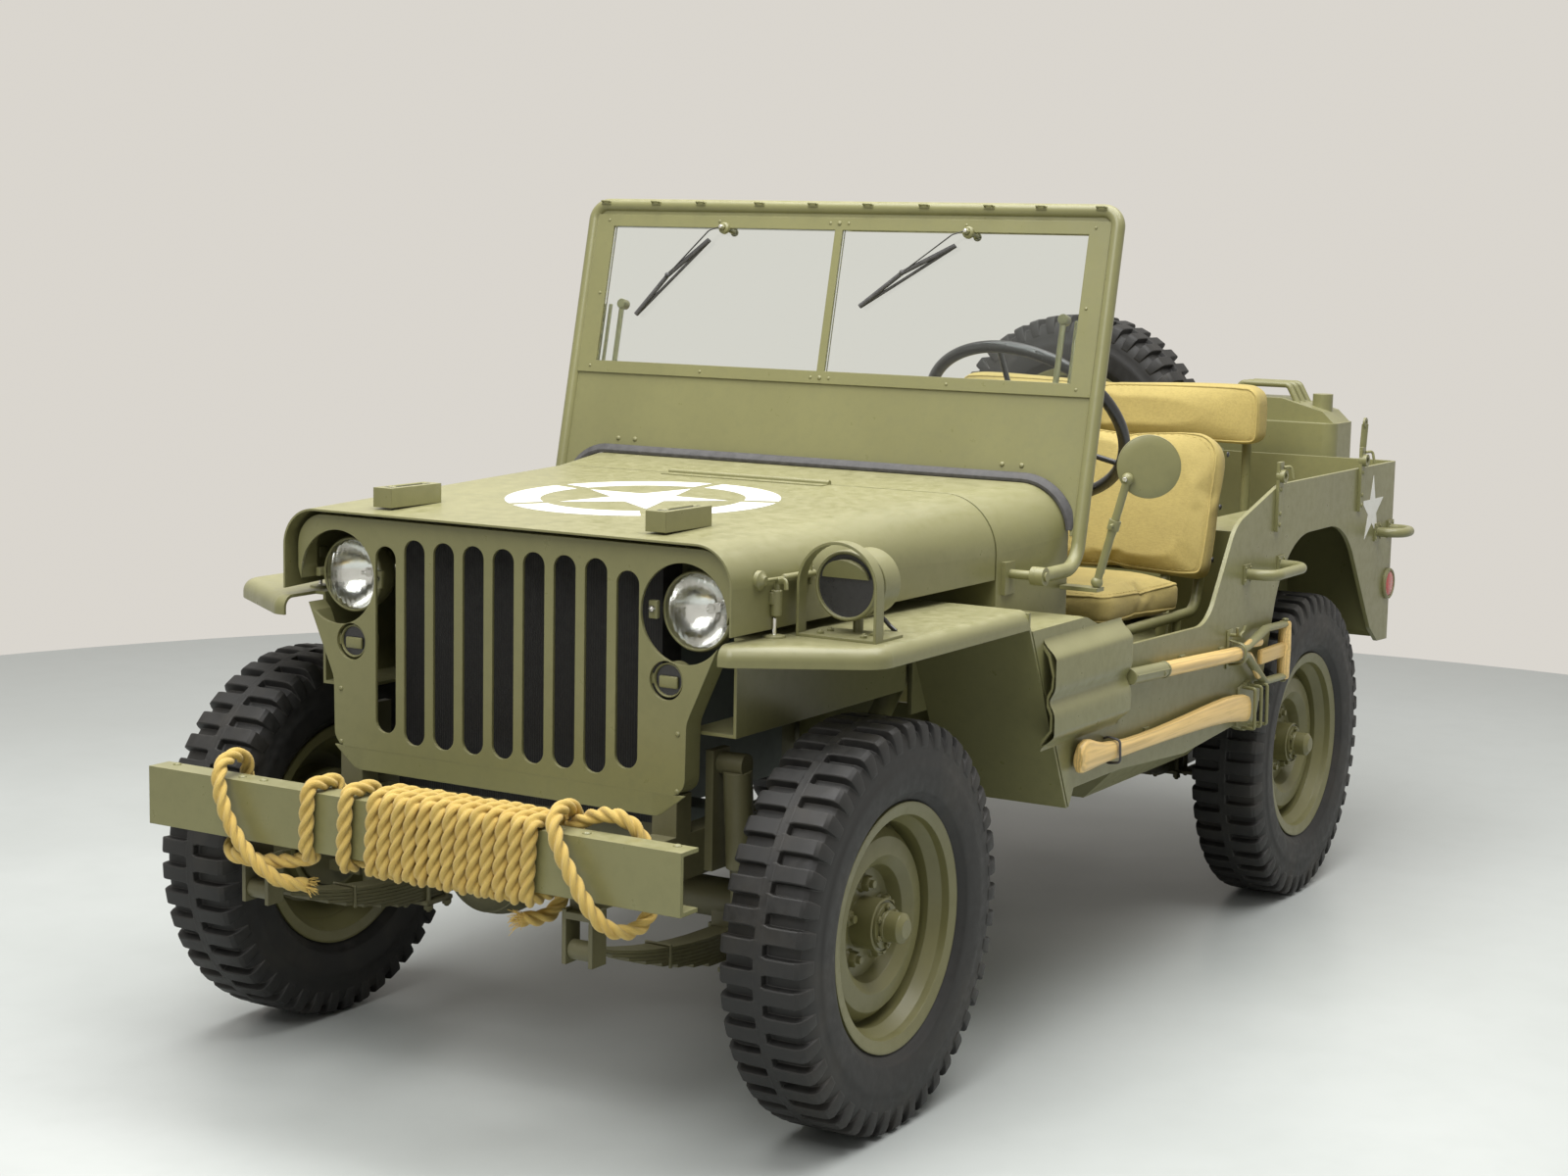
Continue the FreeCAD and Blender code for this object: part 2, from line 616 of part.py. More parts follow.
def leaf_pack(x, half, y, shelf_way):
    """Leaves tapering from the middle to the eyes, cambered so that the eyes stand higher."""
    top, bottom = [], []
    for share in (-1, -0.7, -0.4, -0.1, 0.1, 0.4, 0.7, 1):
        out = (abs(share) - 0.1) / 0.9
        z = spring_top() - s.running_gap + s.spring_camber * out ** 2
        thick = s.leaf_end + (s.leaf_middle - s.leaf_end) * (1 - out)
        top.append((x + half * share, z))
        bottom.append((x + half * share, z - thick))
    side = (y - s.leaf_width / 2, y + s.leaf_width / 2)
    eye_z = spring_top() - s.running_gap + s.spring_camber - s.leaf_end / 2
    pack = extrude("XZ", top + bottom[::-1], side)
    eyes = [cylinder(s.spring_eye_radius, (x + half * way, side[0], eye_z), "Y", s.leaf_width)
            for way in (-1, 1)]
    plate = box((x - 40, x + 40), (y - 34, y + 34),
                (spring_top() - s.leaf_middle - 9, spring_top() - s.leaf_middle + 1))
    shelf_y = (y + 30, s.shock_y + 26) if float(y) > 0 else (-s.shock_y - 26, y - 30)
    shelf_x = (x - 22, x + s.shock_offset + 24) if shelf_way > 0 else (x - s.shock_offset - 24, x + 22)
    shelf = box(shelf_x, shelf_y, (spring_top() - s.leaf_middle - 9, spring_top() - s.leaf_middle))
    return fuse(pack, plate, shelf, *eyes)


def springs():
    packs = [leaf_pack(x, half, y, way)
             for x, half, way in ((dim(0), s.front_spring_half, 1), (rear_x, s.rear_spring_half, -1))
             for y in both(s.spring_y)]
    node("leaf_springs", *packs)


def shock(x_low, x_high, z_high):
    """One damper from the spring shelf up to its frame bracket, on the left."""
    z_low = spring_top() - s.leaf_middle + s.running_gap
    run = Vector(float(x_high - x_low), 0, float(z_high - z_low))
    lean = degrees(acos(run.z / run.Length)) * (1 if run.x > 0 else -1)
    turned = Rotation(Vector(0, 1, 0), lean)
    middle = run * 0.5
    lower = cylinder(s.shock_radius - 6, (x_low, s.shock_y, z_low + 8), "Z", run.Length * 0.6, turned)
    upper = cylinder(s.shock_radius, (x_low + middle.x, s.shock_y, z_low + middle.z), "Z",
                     run.Length * 0.5 - 12, turned)
    eye_span = s.shock_y + 20 - s.rail_outer - 16
    eye = cylinder(s.shock_eye_radius, (x_high, s.rail_outer + 16 + s.running_gap, z_high), "Y",
                   eye_span)
    foot = box((x_low - 16, x_low + 16), (s.shock_y - 16, s.shock_y + 16), (z_low, z_low + 34))
    return fuse(lower, upper, eye, foot)


def shocks():
    front = shock(s.shock_offset, s.shock_offset + s.shock_lean, s.front_shock_top)
    rear = shock(rear_x - s.shock_offset, rear_x - s.shock_offset - s.shock_lean, s.rear_shock_top)
    node("shock_absorbers", front, rear, mirrored(front), mirrored(rear))


def knuckle(side):
    """Yoke, backing plate, spindle and steering arm, built on the left and mirrored."""
    plate_y = s.track_half - s.drum_back - 5.5
    plate = cylinder(s.backing_plate_radius, (0, plate_y - s.backing_plate, axle_z), "Y", s.backing_plate)
    spindle = cylinder(s.spindle_radius, (0, plate_y - 2, axle_z), "Y",
                       s.drum_back + s.bolt_plane - 2.5)
    low = s.ball_radius + 6
    inner = s.kingpin_y - 24
    arms = [box((-s.yoke_wall, s.yoke_wall), (inner, plate_y - 2), (axle_z + low, axle_z + s.kingpin_half)),
            box((-s.yoke_wall, s.yoke_wall), (inner, plate_y - 2), (axle_z - s.kingpin_half, axle_z - low))]
    arm_low = axle_z + s.kingpin_half
    arm = box((-s.steer_arm - 18, s.yoke_wall), (s.kingpin_y - 16, s.kingpin_y + 16),
              (arm_low, arm_low + s.steer_arm_wall))
    gap = s.bore_gap if side == "left" else s.open_pivot_gap
    bores = [cylinder(s.kingpin_radius + s.bore_gap, (0, s.kingpin_y, axle_z - s.kingpin_half - 5), "Z",
                      s.kingpin_half * 2 + 5 + s.running_gap),
             cylinder(s.tie_pin_radius + gap, (-s.steer_arm, s.kingpin_y, arm_low - 5), "Z",
                      s.steer_arm_wall + 10)]
    built = cut(fuse(plate, spindle, arm, *arms), *bores)
    node(f"knuckle_{side}", built if side == "left" else mirrored(built))


def tie_rod():
    bar = cylinder(s.tie_rod_radius, (-s.steer_arm, -s.kingpin_y, s.tie_rod_z), "Y", s.kingpin_y * 2)
    ends = []
    for y in both(s.kingpin_y):
        ends.append(cylinder(s.tie_rod_radius + 5, (-s.steer_arm, y, s.tie_rod_z - s.tie_rod_radius + 2),
                             "Z", s.tie_rod_radius * 2 - 4))
        ends.append(cylinder(s.tie_pin_radius, (-s.steer_arm, y, s.tie_rod_z), "Z",
                             axle_z + s.kingpin_half + s.steer_arm_wall + 6 - s.tie_rod_z))
    node("tie_rod", fuse(bar, *ends))


def steering():
    """Wheel on its raked column, down to the box on the left frame rail."""
    lean = Rotation(Vector(0, 1, 0), 90 + s.wheel_tilt.value)
    centre = (-s.wheel_aft, s.wheel_y, s.wheel_z)
    way = Vector(cos(radians(s.wheel_tilt.value)), 0, -sin(radians(s.wheel_tilt.value)))
    grip = torus(s.steering_radius, s.steering_grip, centre, lean)
    hub_at = vector(centre) + way * 30
    spokes = []
    for turn in (0, 120, 240):
        across = Vector(0, 1, 0)
        up = way.cross(across)
        outward = up * cos(radians(turn)) + across * sin(radians(turn))
        tip = vector(centre) + outward * float(s.steering_radius)
        run = tip - hub_at
        bar = Part.makeCylinder(6, run.Length - 4, hub_at, run)
        spokes.append(shape_feature(bar, "Spoke"))
    boss = cylinder(28, (hub_at.x, hub_at.y, hub_at.z), "Z", 34, lean)
    bore = cylinder(10 + s.bore_gap, (hub_at.x + way.x * 20, hub_at.y, hub_at.z + way.z * 20), "Z", 30, lean)
    node("steering_wheel", cut(fuse(grip, boss, *spokes), bore))

    top = hub_at + way * 40
    shaft = cylinder(10, (hub_at.x + way.x * 22, hub_at.y, hub_at.z + way.z * 22), "Z", 40, lean)
    column = cylinder(s.column_radius, (top.x, top.y, top.z), "Z", s.column_length, lean)
    bottom = top + way * float(s.column_length)
    housing = box((bottom.x - 50, bottom.x + 60), (s.rail_inner - 14, s.rail_outer + 14),
                  (s.rail_top + s.running_gap, s.rail_top + 76))
    node("steering_column", fuse(shaft, column, housing))


# ---------------------------------------------------------------- frame and power train


def rail(side_y):
    inner, outer = (s.rail_inner, s.rail_outer) if side_y > 0 else (-s.rail_outer, -s.rail_inner)
    front = s.bumper_face - s.bumper_depth
    beam = box((-s.frame_aft, front), (inner, outer), (s.rail_bottom, s.rail_top))
    return beam


def hanger(x, y):
    """Two cheeks from the rail down past a spring eye, with the pin through it."""
    eye_z = spring_top() - s.running_gap + s.spring_camber - s.leaf_end / 2
    half = s.leaf_width / 2 + s.running_gap
    cheeks = [box((x - 20, x + 20), (y + half, y + half + 8), (eye_z - 22, s.rail_bottom + 4)),
              box((x - 20, x + 20), (y - half - 8, y - half), (eye_z - 22, s.rail_bottom + 4))]
    bridge = box((x - 20, x + 20), (y - half - 8, y + half + 8), (s.rail_bottom - 12, s.rail_bottom))
    return cheeks + [bridge]


def frame():
    parts = [rail(1), rail(-1)]
    between = (-s.rail_inner, s.rail_inner)
    depth = s.cross_depth
    radiator_x = s.radiator_back + s.radiator_depth / 2
    for front in (radiator_x + depth / 2, dim(-1740), -s.frame_aft + depth):
        parts.append(box((front - depth, front), between, (s.rail_bottom + 10, s.rail_top)))
    parts.append(box((-s.gearbox_aft, -s.gearbox_aft + depth), between,
                     (s.rail_bottom, s.gearbox_bottom - s.running_gap)))
    front_back = s.bumper_face - s.bumper_depth
    for y in both((s.rail_inner + s.rail_outer) / 2):
        width = (y - 25, y + 25)
        parts.append(box((front_back - s.gusset_reach, front_back), width,
                         (s.rail_top, s.rail_top + s.gusset_height)))
        parts.append(box((s.grille_face - s.grille_depth, s.grille_face), width,
                         (s.rail_top, s.grille_bottom)))
    for y in both(s.spring_y):
        for x, half in ((dim(0), s.front_spring_half - 18), (rear_x, s.rear_spring_half)):
            parts += hanger(x - half, y)
        parts += hanger(dim(0) + s.front_spring_half, y)
        parts += hanger(rear_x + s.rear_spring_half, y)
    for way in (1, -1):
        side = (s.rail_outer, s.rail_outer + 16) if way > 0 else (-s.rail_outer - 16, -s.rail_outer)
        for x, top in ((s.shock_offset + s.shock_lean, s.front_shock_top + 24),
                       (rear_x - s.shock_offset - s.shock_lean, s.rail_top)):
            parts.append(box((x - 27, x + 27), side, (s.rail_bottom + 5, top)))
    node("frame", fuse(*parts))


def bumpers():
    back = s.bumper_face - s.bumper_depth
    span = (-s.bumper_half, s.bumper_half)
    channel = cut(
        box((back, s.bumper_face), span, (s.bumper_bottom, s.bumper_top)),
        box((back - 1, s.bumper_face - s.bumper_wall), (span[0] - 1, span[1] + 1),
            (s.bumper_bottom + s.bumper_wall, s.bumper_top - s.bumper_wall)))
    feet = [box((back, s.bumper_face - s.bumper_wall), (y - 20, y + 20),
                (s.bumper_bottom + s.bumper_wall, s.bumper_top - s.bumper_wall))
            for y in both((s.rail_inner + s.rail_outer) / 2)]
    node("front_bumper", fuse(channel, *feet))

    wall = s.bumperette_wall
    front = -s.frame_aft
    reach = front - s.bumperette_reach
    inner, outer = s.bumperette_inner, s.bumperette_outer
    heights = (s.rail_bottom, s.rail_top)
    hoop = cut(
        extrude("XY", [(front, inner), (reach, inner), (reach, outer), (front, outer)], heights,
                ((1, 50), (2, 50))),
        extrude("XY", [(front + 1, inner + wall), (reach + wall, inner + wall),
                       (reach + wall, outer - wall), (front + 1, outer - wall)],
                (heights[0] - 1, heights[1] + 1), ((1, 42), (2, 42))))
    tie = box((front - wall, front), (s.rail_inner, outer), heights)
    left = fuse(hoop, tie)
    node("rear_bumpers", left, mirrored(left))

    width = s.pintle_width / 2
    z = s.pintle_z
    eye_x = front - s.pintle_reach + s.pintle_bore + 20
    plate = box((front - 12, front), (-60, 60), (s.rail_bottom + 15, s.rail_top))
    shank = box((eye_x, front), (-width, width), (z - 24, z + 24))
    ring = cylinder(s.pintle_bore + 20, (eye_x, -width, z), "Y", width * 2)
    hole = cylinder(s.pintle_bore, (eye_x, -width - 1, z), "Y", width * 2 + 2)
    latch = box((eye_x - 8, eye_x + 40), (-8, 8), (z + s.pintle_bore + 10, z + s.pintle_bore + 46))
    node("pintle_hook", cut(fuse(plate, shank, ring, latch), hole))


def levers():
    """Gear and transfer levers, each with its knob, up through the slot in the tunnel."""
    foot = s.tunnel_z - 40
    thin = s.lever_radius - 1
    parts = [tube([(-860, -20, foot), (-900, -20, 720), (-1010, -10, 830)], s.lever_radius, 60),
             ball(18, (-1010, -10, 830))]
    for x, y in ((-960, -60), (-980, -84)):
        top = (dim(x) - 100, dim(y) - 12, dim(760))
        parts.append(tube([(x, y, foot), (x - 20, y - 2, 700), top], thin, 40))
        parts.append(ball(14, top))
    return parts


def power_train():
    half = s.engine_half
    low, high = s.engine_bottom, s.engine_top
    block = box((-s.engine_aft, s.engine_front), (-half, half), (low, high))
    mounts = [box((-s.engine_mount_aft, 0), side, (low + 10, s.rail_top))
              for side in ((half, s.rail_inner), (-s.rail_inner, -half))]
    node("engine_block", fuse(block, *mounts))

    low = s.gearbox_bottom
    roof = s.tunnel_z - s.floor_wall - 4
    transfer_front = -s.gearbox_aft + s.transfer_length
    transfer_back = -s.gearbox_aft - 40
    case = box((-s.gearbox_aft, -s.gearbox_front), (-s.gearbox_half, s.gearbox_half), (low, roof - 6))
    transfer = box((transfer_back, transfer_front), (s.diff_y - 60, s.gearbox_half + 5),
                   (low, s.rail_top - 8))
    bell = box((-s.bell_aft, -s.engine_aft - s.running_gap), (-s.tunnel_half + 12, s.tunnel_half - 12),
               (low + 20, roof))
    parts = [case, transfer, bell]
    shaft_z = low + 28
    flange = s.prop_flange
    front_face = -s.pinion_reach - s.running_gap - flange
    rear_face = rear_x + s.pinion_reach + s.running_gap
    for start, face in ((transfer_front, front_face), (transfer_back, rear_face)):
        start_at = vector((start, s.diff_y, shaft_z))
        run = vector((face + flange / 2, s.diff_y, axle_z)) - start_at
        shaft = Part.makeCylinder(float(s.prop_radius), run.Length, start_at, run)
        parts.append(shape_feature(shaft, "Shaft"))
        parts.append(cylinder(s.pinion_radius, (face, s.diff_y, axle_z), "X", flange))
    node("driveline", fuse(*parts, *levers()))

    y, z = s.exhaust_y, s.exhaust_z
    muffler_front = -s.muffler_aft + s.muffler_length
    muffler = cylinder(s.muffler_radius, (-s.muffler_aft, y, z), "X", s.muffler_length)
    front_pipe = tube([(-s.gearbox_front, s.downpipe_y, s.downpipe_z),
                       (-s.gearbox_front - 100, s.downpipe_y - 40, z - 30),
                       (muffler_front + 160, y, z), (muffler_front - 10, y, z)], s.pipe_radius, 60)
    tail = tube([(-s.muffler_aft + 10, y, z), (-s.tailpipe_aft, y, z),
                 (-s.tailpipe_aft, s.tailpipe_y, z)], s.pipe_radius, 50)
    strap_back = -s.muffler_aft + 180
    strap = box((strap_back, strap_back + 30), (y - 20, y + 20), (z + 40, s.rail_top))
    node("exhaust", fuse(muffler, front_pipe, tail, strap))

    node("radiator", box((s.radiator_back, s.radiator_back + s.radiator_depth),
                         (-s.radiator_half, s.radiator_half), (s.rail_top, s.radiator_top)))


# ---------------------------------------------------------------- grille and lamps


def grille():
    low, high = s.grille_low_half, s.grille_high_half
    outline = [(-low, s.grille_bottom), (low, s.grille_bottom), (low + 2, s.grille_kink_low),
               (high - 14, s.grille_kink_high), (high, s.grille_kink_high + 40),
               (high, s.grille_top), (-high, s.grille_top), (-high, s.grille_kink_high + 40),
               (-high + 14, s.grille_kink_high), (-low - 2, s.grille_kink_low)]
    corners = [(0, 30), (1, 30), (2, 60), (3, 60), (5, s.grille_corner), (6, s.grille_corner),
               (8, 60), (9, 60)]
    wall = s.grille_wall
    inset = [(-low + wall, s.grille_bottom + wall), (low - wall, s.grille_bottom + wall),
             (low + 2 - wall, s.grille_kink_low + 2), (high - 14 - wall, s.grille_kink_high + 3),
             (high - wall, s.grille_kink_high + 42), (high - wall, s.grille_top - wall),
             (-high + wall, s.grille_top - wall), (-high + wall, s.grille_kink_high + 42),
             (-high + 14 + wall, s.grille_kink_high + 3), (-low - 2 + wall, s.grille_kink_low + 2)]
    back = s.grille_face - s.grille_depth
    tray = cut(extrude("YZ", outline, (back, s.grille_face), corners),
               extrude("YZ", inset, (back - 1, s.grille_face - wall), corners))
    through = (s.grille_face - s.grille_depth, s.grille_face + 1)
    holes = []
    count = int(s.slot_count.value)
    for i in range(count):
        y = s.slot_pitch * (i - (count - 1) / 2)
        drop = s.slot_end_drop if i in (0, count - 1) else dim(0)
        half = s.slot_width / 2
        holes.append(extrude("YZ", [(y - half, s.slot_low + drop), (y + half, s.slot_low + drop),
                                    (y + half, s.slot_high - drop), (y - half, s.slot_high - drop)],
                             through, [(k, half - 0.5) for k in range(4)]))
    for y in both(s.headlamp_y):
        holes.append(cylinder(s.headlamp_hole, (through[0], y, s.headlamp_z), "X", s.grille_depth + 1))
    for y in both(s.marker_y):
        holes.append(cylinder(s.marker_hole, (through[0], y, s.marker_z), "X", s.grille_depth + 1))
    node("grille", cut(tray, *holes))


def lamps():
    parts = []
    brace_front = s.grille_face - s.grille_wall - s.running_gap
    brace_x = (brace_front - s.lamp_brace, brace_front)
    rim = s.grille_face - s.headlamp_recess
    tray_back = s.grille_face - s.grille_depth
    flange = s.grille_high_half - s.grille_wall - 8 - s.running_gap
    for way in (1, -1):
        y = s.headlamp_y * way
        bowl = cylinder(s.headlamp_radius, (rim - s.headlamp_depth, y, s.headlamp_z), "X", s.headlamp_depth)
        lens = cut(ball(150, (rim - 130, y, s.headlamp_z)),
                   box((rim - 300, rim - 2), (y - 200, y + 200), (s.headlamp_z - 200, s.headlamp_z + 200)))
        lens = common(lens, cylinder(s.headlamp_radius, (rim - 10, y, s.headlamp_z), "X", 60))
        arm_y = (y, flange) if way > 0 else (-flange, y)
        arm = box((tray_back - 20, tray_back + 14), arm_y, (s.headlamp_z - 8, s.headlamp_z + 8))
        parts.append(fuse(bowl, lens, arm))
        y = s.marker_y * way
        body = cylinder(s.marker_radius, (s.grille_face - 52, y, s.marker_z), "X", 46)
        brace = box(brace_x, (y - s.marker_hole - 6, y + s.marker_hole + 6), (s.marker_z - 9, s.marker_z + 9))
        parts.append(fuse(body, brace))
        y = s.tail_lamp_y * way
        parts.append(cylinder(s.tail_lamp_radius, (-s.body_aft - 26, y, s.tail_lamp_z), "X", 26))
    node("lamps", *parts)


def blackout_lamp():
    """Drum lamp on a stalk inside its strap guard, on the left front fender."""
    y, z = s.hood_front_half + s.blackout_gap, s.blackout_z
    front = s.blackout_front
    seat = s.fender_top
    drum = cylinder(s.blackout_radius, (front - s.blackout_length, y, z), "X", s.blackout_length)
    stalk = cylinder(9, (front - s.blackout_length / 2, y, seat), "Z", z - seat)
    strap = s.guard_strap
    hoop_x = (front + 10, front + 10 + strap)
    base = box((hoop_x[1] - s.guard_base, hoop_x[1]), (y - s.guard_radius, y + s.guard_radius),
               (seat, seat + s.guard_wall))
    outer = cylinder(s.guard_radius, (hoop_x[0], y, z), "X", strap)
    inner = cylinder(s.guard_radius - s.guard_wall, (hoop_x[0] - 1, y, z), "X", strap + 2)
    below = box((hoop_x[0] - 1, hoop_x[1] + 1), (y - s.guard_radius - 1, y + s.guard_radius + 1),
                (z - s.guard_radius - 1, z))
    legs = [box(hoop_x, (y + start, y + start + s.guard_wall), (seat, z))
            for start in (-s.guard_radius, s.guard_radius - s.guard_wall)]
    node("blackout_lamp", fuse(drum, stalk, base, cut(outer, inner, below), *legs))


# ---------------------------------------------------------------- hood, fenders, cowl


def hood():
    wall = s.hood_wall
    rear = -s.cowl_seam_aft + s.hood_gap
    outer = Part.makeLoft([
        hood_section(rear, s.hood_rear_half, s.hood_rear_bottom, s.hood_rear_top, s.hood_rear_corner),
        hood_section(s.hood_front, s.hood_front_half, s.hood_front_bottom, s.hood_front_top,
                     s.hood_front_corner)], True, True)
    inner = Part.makeLoft([
        hood_section(rear - 1, s.hood_rear_half - wall, s.hood_rear_bottom - 20,
                     s.hood_rear_top - wall, s.hood_rear_corner - wall),
        hood_section(s.hood_front + 1, s.hood_front_half - wall, s.hood_front_bottom - 20,
                     s.hood_front_top - wall, s.hood_front_corner - wall)], True, True)
    shell = shape_feature(outer.cut(inner), "HoodShell")
    knuckle_z = s.hood_rear_top + s.hinge_radius - 3
    knuckle_x = -s.cowl_seam_aft + s.hinge_radius + s.running_gap
    barrel = cylinder(s.hinge_radius, (knuckle_x, -s.hinge_half, knuckle_z), "Y", s.hinge_half * 2)
    leaf = box((knuckle_x, knuckle_x + 34), (-s.hinge_half, s.hinge_half),
               (s.hood_rear_top - wall, s.hood_rear_top + 1.5))
    node("hood", fuse(shell, leaf, barrel))

    blocks = []
    slope = (s.hood_rear_top - s.hood_front_top) / (s.cowl_seam_aft + s.hood_front)
    seat = s.hood_front_top + slope * (s.hood_front - s.block_back) + s.running_gap
    for y in both(s.block_y):
        blocks.append(box((s.block_back, s.block_front), (y - s.block_width / 2, y + s.block_width / 2),
                          (seat, seat + s.block_height)))
    node("hood_blocks", *blocks)


def fender_plan(inset):
    """The top outline of the left fender, its edge set in by a distance."""
    return [(s.fender_front - inset, s.fender_inner), (s.fender_front - inset, s.hood_front_half + 6),
            (s.fender_nose - inset * 0.7, s.body_half - inset), (-s.fender_aft - 6, s.body_half - inset),
            (-s.fender_aft - 6, s.fender_inner)]


def fenders():
    wall = s.fender_wall
    top = s.fender_top
    low = top - s.fender_lip
    corners = ((1, 20), (2, 60))

    def upper_edge(edge):
        points = [v.Point for v in edge.Vertexes]
        return (all(abs(p.z - shelf) < 0.01 for p in points)
                and all(p.y > float(s.fender_inner) + 1 for p in points))

    shelf = float(top)
    outer = fillet(extrude("XY", fender_plan(dim(0)), (low, top), corners), s.fender_edge, upper_edge)
    shelf = float(top - wall)
    inner = fillet(extrude("XY", fender_plan(wall), (low - 1, top - wall), corners),
                   s.fender_edge - wall, upper_edge)
    notch = box((s.grille_face - s.grille_depth - 2, s.fender_front + 1),
                (s.fender_inner - 1, s.grille_high_half + s.running_gap), (low - 2, top + 1))
    crown = cut(outer, inner, notch)
    skirt = extrude("XZ", [(-s.fender_aft, top - 30), (-s.skirt_aft, s.skirt_bottom),
                           (-s.skirt_aft - wall, s.skirt_bottom), (-s.fender_aft - wall, top - 30)],
                    (s.fender_inner, s.body_half))
    riser = box((-s.fender_aft - wall, -s.fender_aft), (s.fender_inner, s.body_half), (top - 32, top - 4))
    apron = box((-s.fender_aft, s.fender_front - 90), (s.fender_inner, s.fender_inner + wall),
                (s.apron_bottom, top - 3))
    brace = box((-s.fender_aft, s.fender_front - 90), (s.rail_outer - 12, s.fender_inner + wall),
                (s.apron_bottom - wall, s.apron_bottom))
    left = fuse(crown, skirt, riser, apron, brace)
    node("front_fenders", left, mirrored(left))


def windshield_pins():
    """Pins on the cowl's sides that the folding windshield's tubes turn on."""
    pins = []
    inner = s.hood_rear_half - s.cowl_wall
    reach = s.tube_half + s.pin_reach
    plate = (s.hood_rear_half + 2, s.hood_rear_half + 2 + s.bracket_wall)
    for way in (1, -1):
        start = inner if way > 0 else -reach
        pins.append(cylinder(s.pivot_pin_radius, (-s.pivot_aft, start, s.pivot_z), "Y", reach - inner))
        side = plate if way > 0 else (-plate[1], -plate[0])
        pins.append(box((-s.pivot_aft - 24, -s.pivot_aft + 24), side, (s.pivot_z - 40, s.pivot_z + 24)))
    return pins


def cowl():
    seam = -s.cowl_seam_aft
    rear = -s.cowl_aft
    wall = s.cowl_wall
    base = s.shoulder_z
    skirt = s.shoulder_end_z
    outer = Part.makeLoft([
        hood_section(seam, s.hood_rear_half, skirt, s.hood_rear_top, s.hood_rear_corner),
        hood_section(rear, s.cowl_half, skirt, s.cowl_top, s.cowl_corner)], True, True)
    inner = Part.makeLoft([
        hood_section(seam + 1, s.hood_rear_half - wall, skirt - 1, s.hood_rear_top - wall,
                     s.hood_rear_corner - wall),
        hood_section(rear - 1, s.cowl_half - wall, skirt - 1, s.cowl_top - wall,
                     s.cowl_corner - wall)], True, True)
    shell = shape_feature(outer.cut(inner), "CowlShell")
    whole = shape_feature(outer, "CowlVolume")
    floor_top = s.rail_top + s.running_gap + s.floor_wall
    bay = s.fender_inner
    firewall = common(whole, box((seam - wall, seam), (-700, 700), (base, s.cowl_top)))
    hole_z = s.wheel_z - (s.wheel_aft - s.cowl_seam_aft) * (sine(s.wheel_tilt) / cosine(s.wheel_tilt))
    hole_span = s.column_radius / cosine(s.wheel_tilt) + 8
    hole_half = s.column_radius + 5
    through = (seam - wall - 1, seam + 1)
    lower = cut(box((seam - wall, seam), (-bay, bay), (floor_top, base)),
                box(through, (-s.tunnel_half, s.tunnel_half), (floor_top - 1, s.tunnel_z)),
                box(through, (s.wheel_y - hole_half, s.wheel_y + hole_half),
                    (hole_z - hole_span, hole_z + hole_span)))
    dash_volume = shape_feature(outer, "DashVolume")
    dash = common(dash_volume, box((rear, rear + wall), (-700, 700), (s.dash_low, s.cowl_top)))
    inner_edge = s.hood_rear_half - wall
    outer_edge = s.body_half - s.panel_wall
    slope = (s.skirt_aft - s.fender_aft) / (s.fender_top - 30 - s.skirt_bottom)
    toe_top = -s.fender_aft - slope * (s.fender_top - 30 - base) - s.fender_wall - s.toe_gap
    toe_low = toe_top - slope * (base - floor_top)
    fall = (base - s.shoulder_end_z) / (s.shoulder_end_aft - s.shoulder_aft)
    shelf_line = [(toe_top, base), (-s.shoulder_aft, base),
                  (rear, base - fall * (s.cowl_aft - s.shoulder_aft))]
    panels = []
    for way in (1, -1):
        side = (inner_edge, outer_edge) if way > 0 else (-outer_edge, -inner_edge)
        panels.append(extrude("XZ", shelf_line + [(x, z - wall) for x, z in shelf_line[::-1]], side))
        toe_side = (bay - wall, outer_edge) if way > 0 else (-outer_edge, -bay + wall)
        panels.append(extrude("XZ", [(toe_top, base), (toe_low, floor_top), (toe_low - wall, floor_top),
                                     (toe_top - wall, base)], toe_side))
        wing = (bay - wall, bay) if way > 0 else (-bay, -bay + wall)
        panels.append(box((seam - wall, toe_top - 20), wing, (s.toe_wing_z, base)))
        shelf = (bay - wall, inner_edge + 1) if way > 0 else (-inner_edge - 1, -bay + wall)
        panels.append(box((seam - wall, toe_top), shelf, (base - wall, base)))
    node("cowl", fuse(shell, firewall, lower, dash, *panels, *windshield_pins()))


# ---------------------------------------------------------------- tub


def side_outline():
    """The left side panel, from the skirt back to the tail, with its door cut and wheel arch."""
    arch = s.wheelbase
    return [
        (-s.fender_aft - 16, s.shoulder_z), (-s.shoulder_aft, s.shoulder_z),
        (-s.shoulder_end_aft, s.shoulder_end_z), (-s.shoulder_end_aft - 15, s.sill_z + 10),
        (-1324, s.sill_z), (-1469, 941),
        (-1724, s.body_top), (-s.body_aft + s.corner_radius, s.body_top),
        (-s.body_aft + s.corner_radius, s.rear_bottom), (-arch - 443, s.rear_bottom + 3),
        (-arch - 380, s.rear_bottom + 44), (-arch - 158, s.arch_top), (-arch + 257, s.arch_top),
        (-arch + 392, s.step_z + 2), (-1215, s.sill_low), (-s.step_aft, s.step_z),
        (-657, s.step_z), (-s.skirt_aft - 12, s.skirt_bottom),
    ]


def tool_clamps():
    """Blocks on the left side that the shovel and the axe rest against."""
    seat = s.body_half + s.tool_gap - s.running_gap
    return [box((x - 12, x + 12), (s.body_half - 1, seat), (z - 16, z + 16))
            for x, z in ((dim(-1180), shovel_line(dim(-1180))), (dim(-1400), shovel_line(dim(-1400))),
                         (dim(-1000), s.axe_z), (dim(-1380), s.axe_z))]


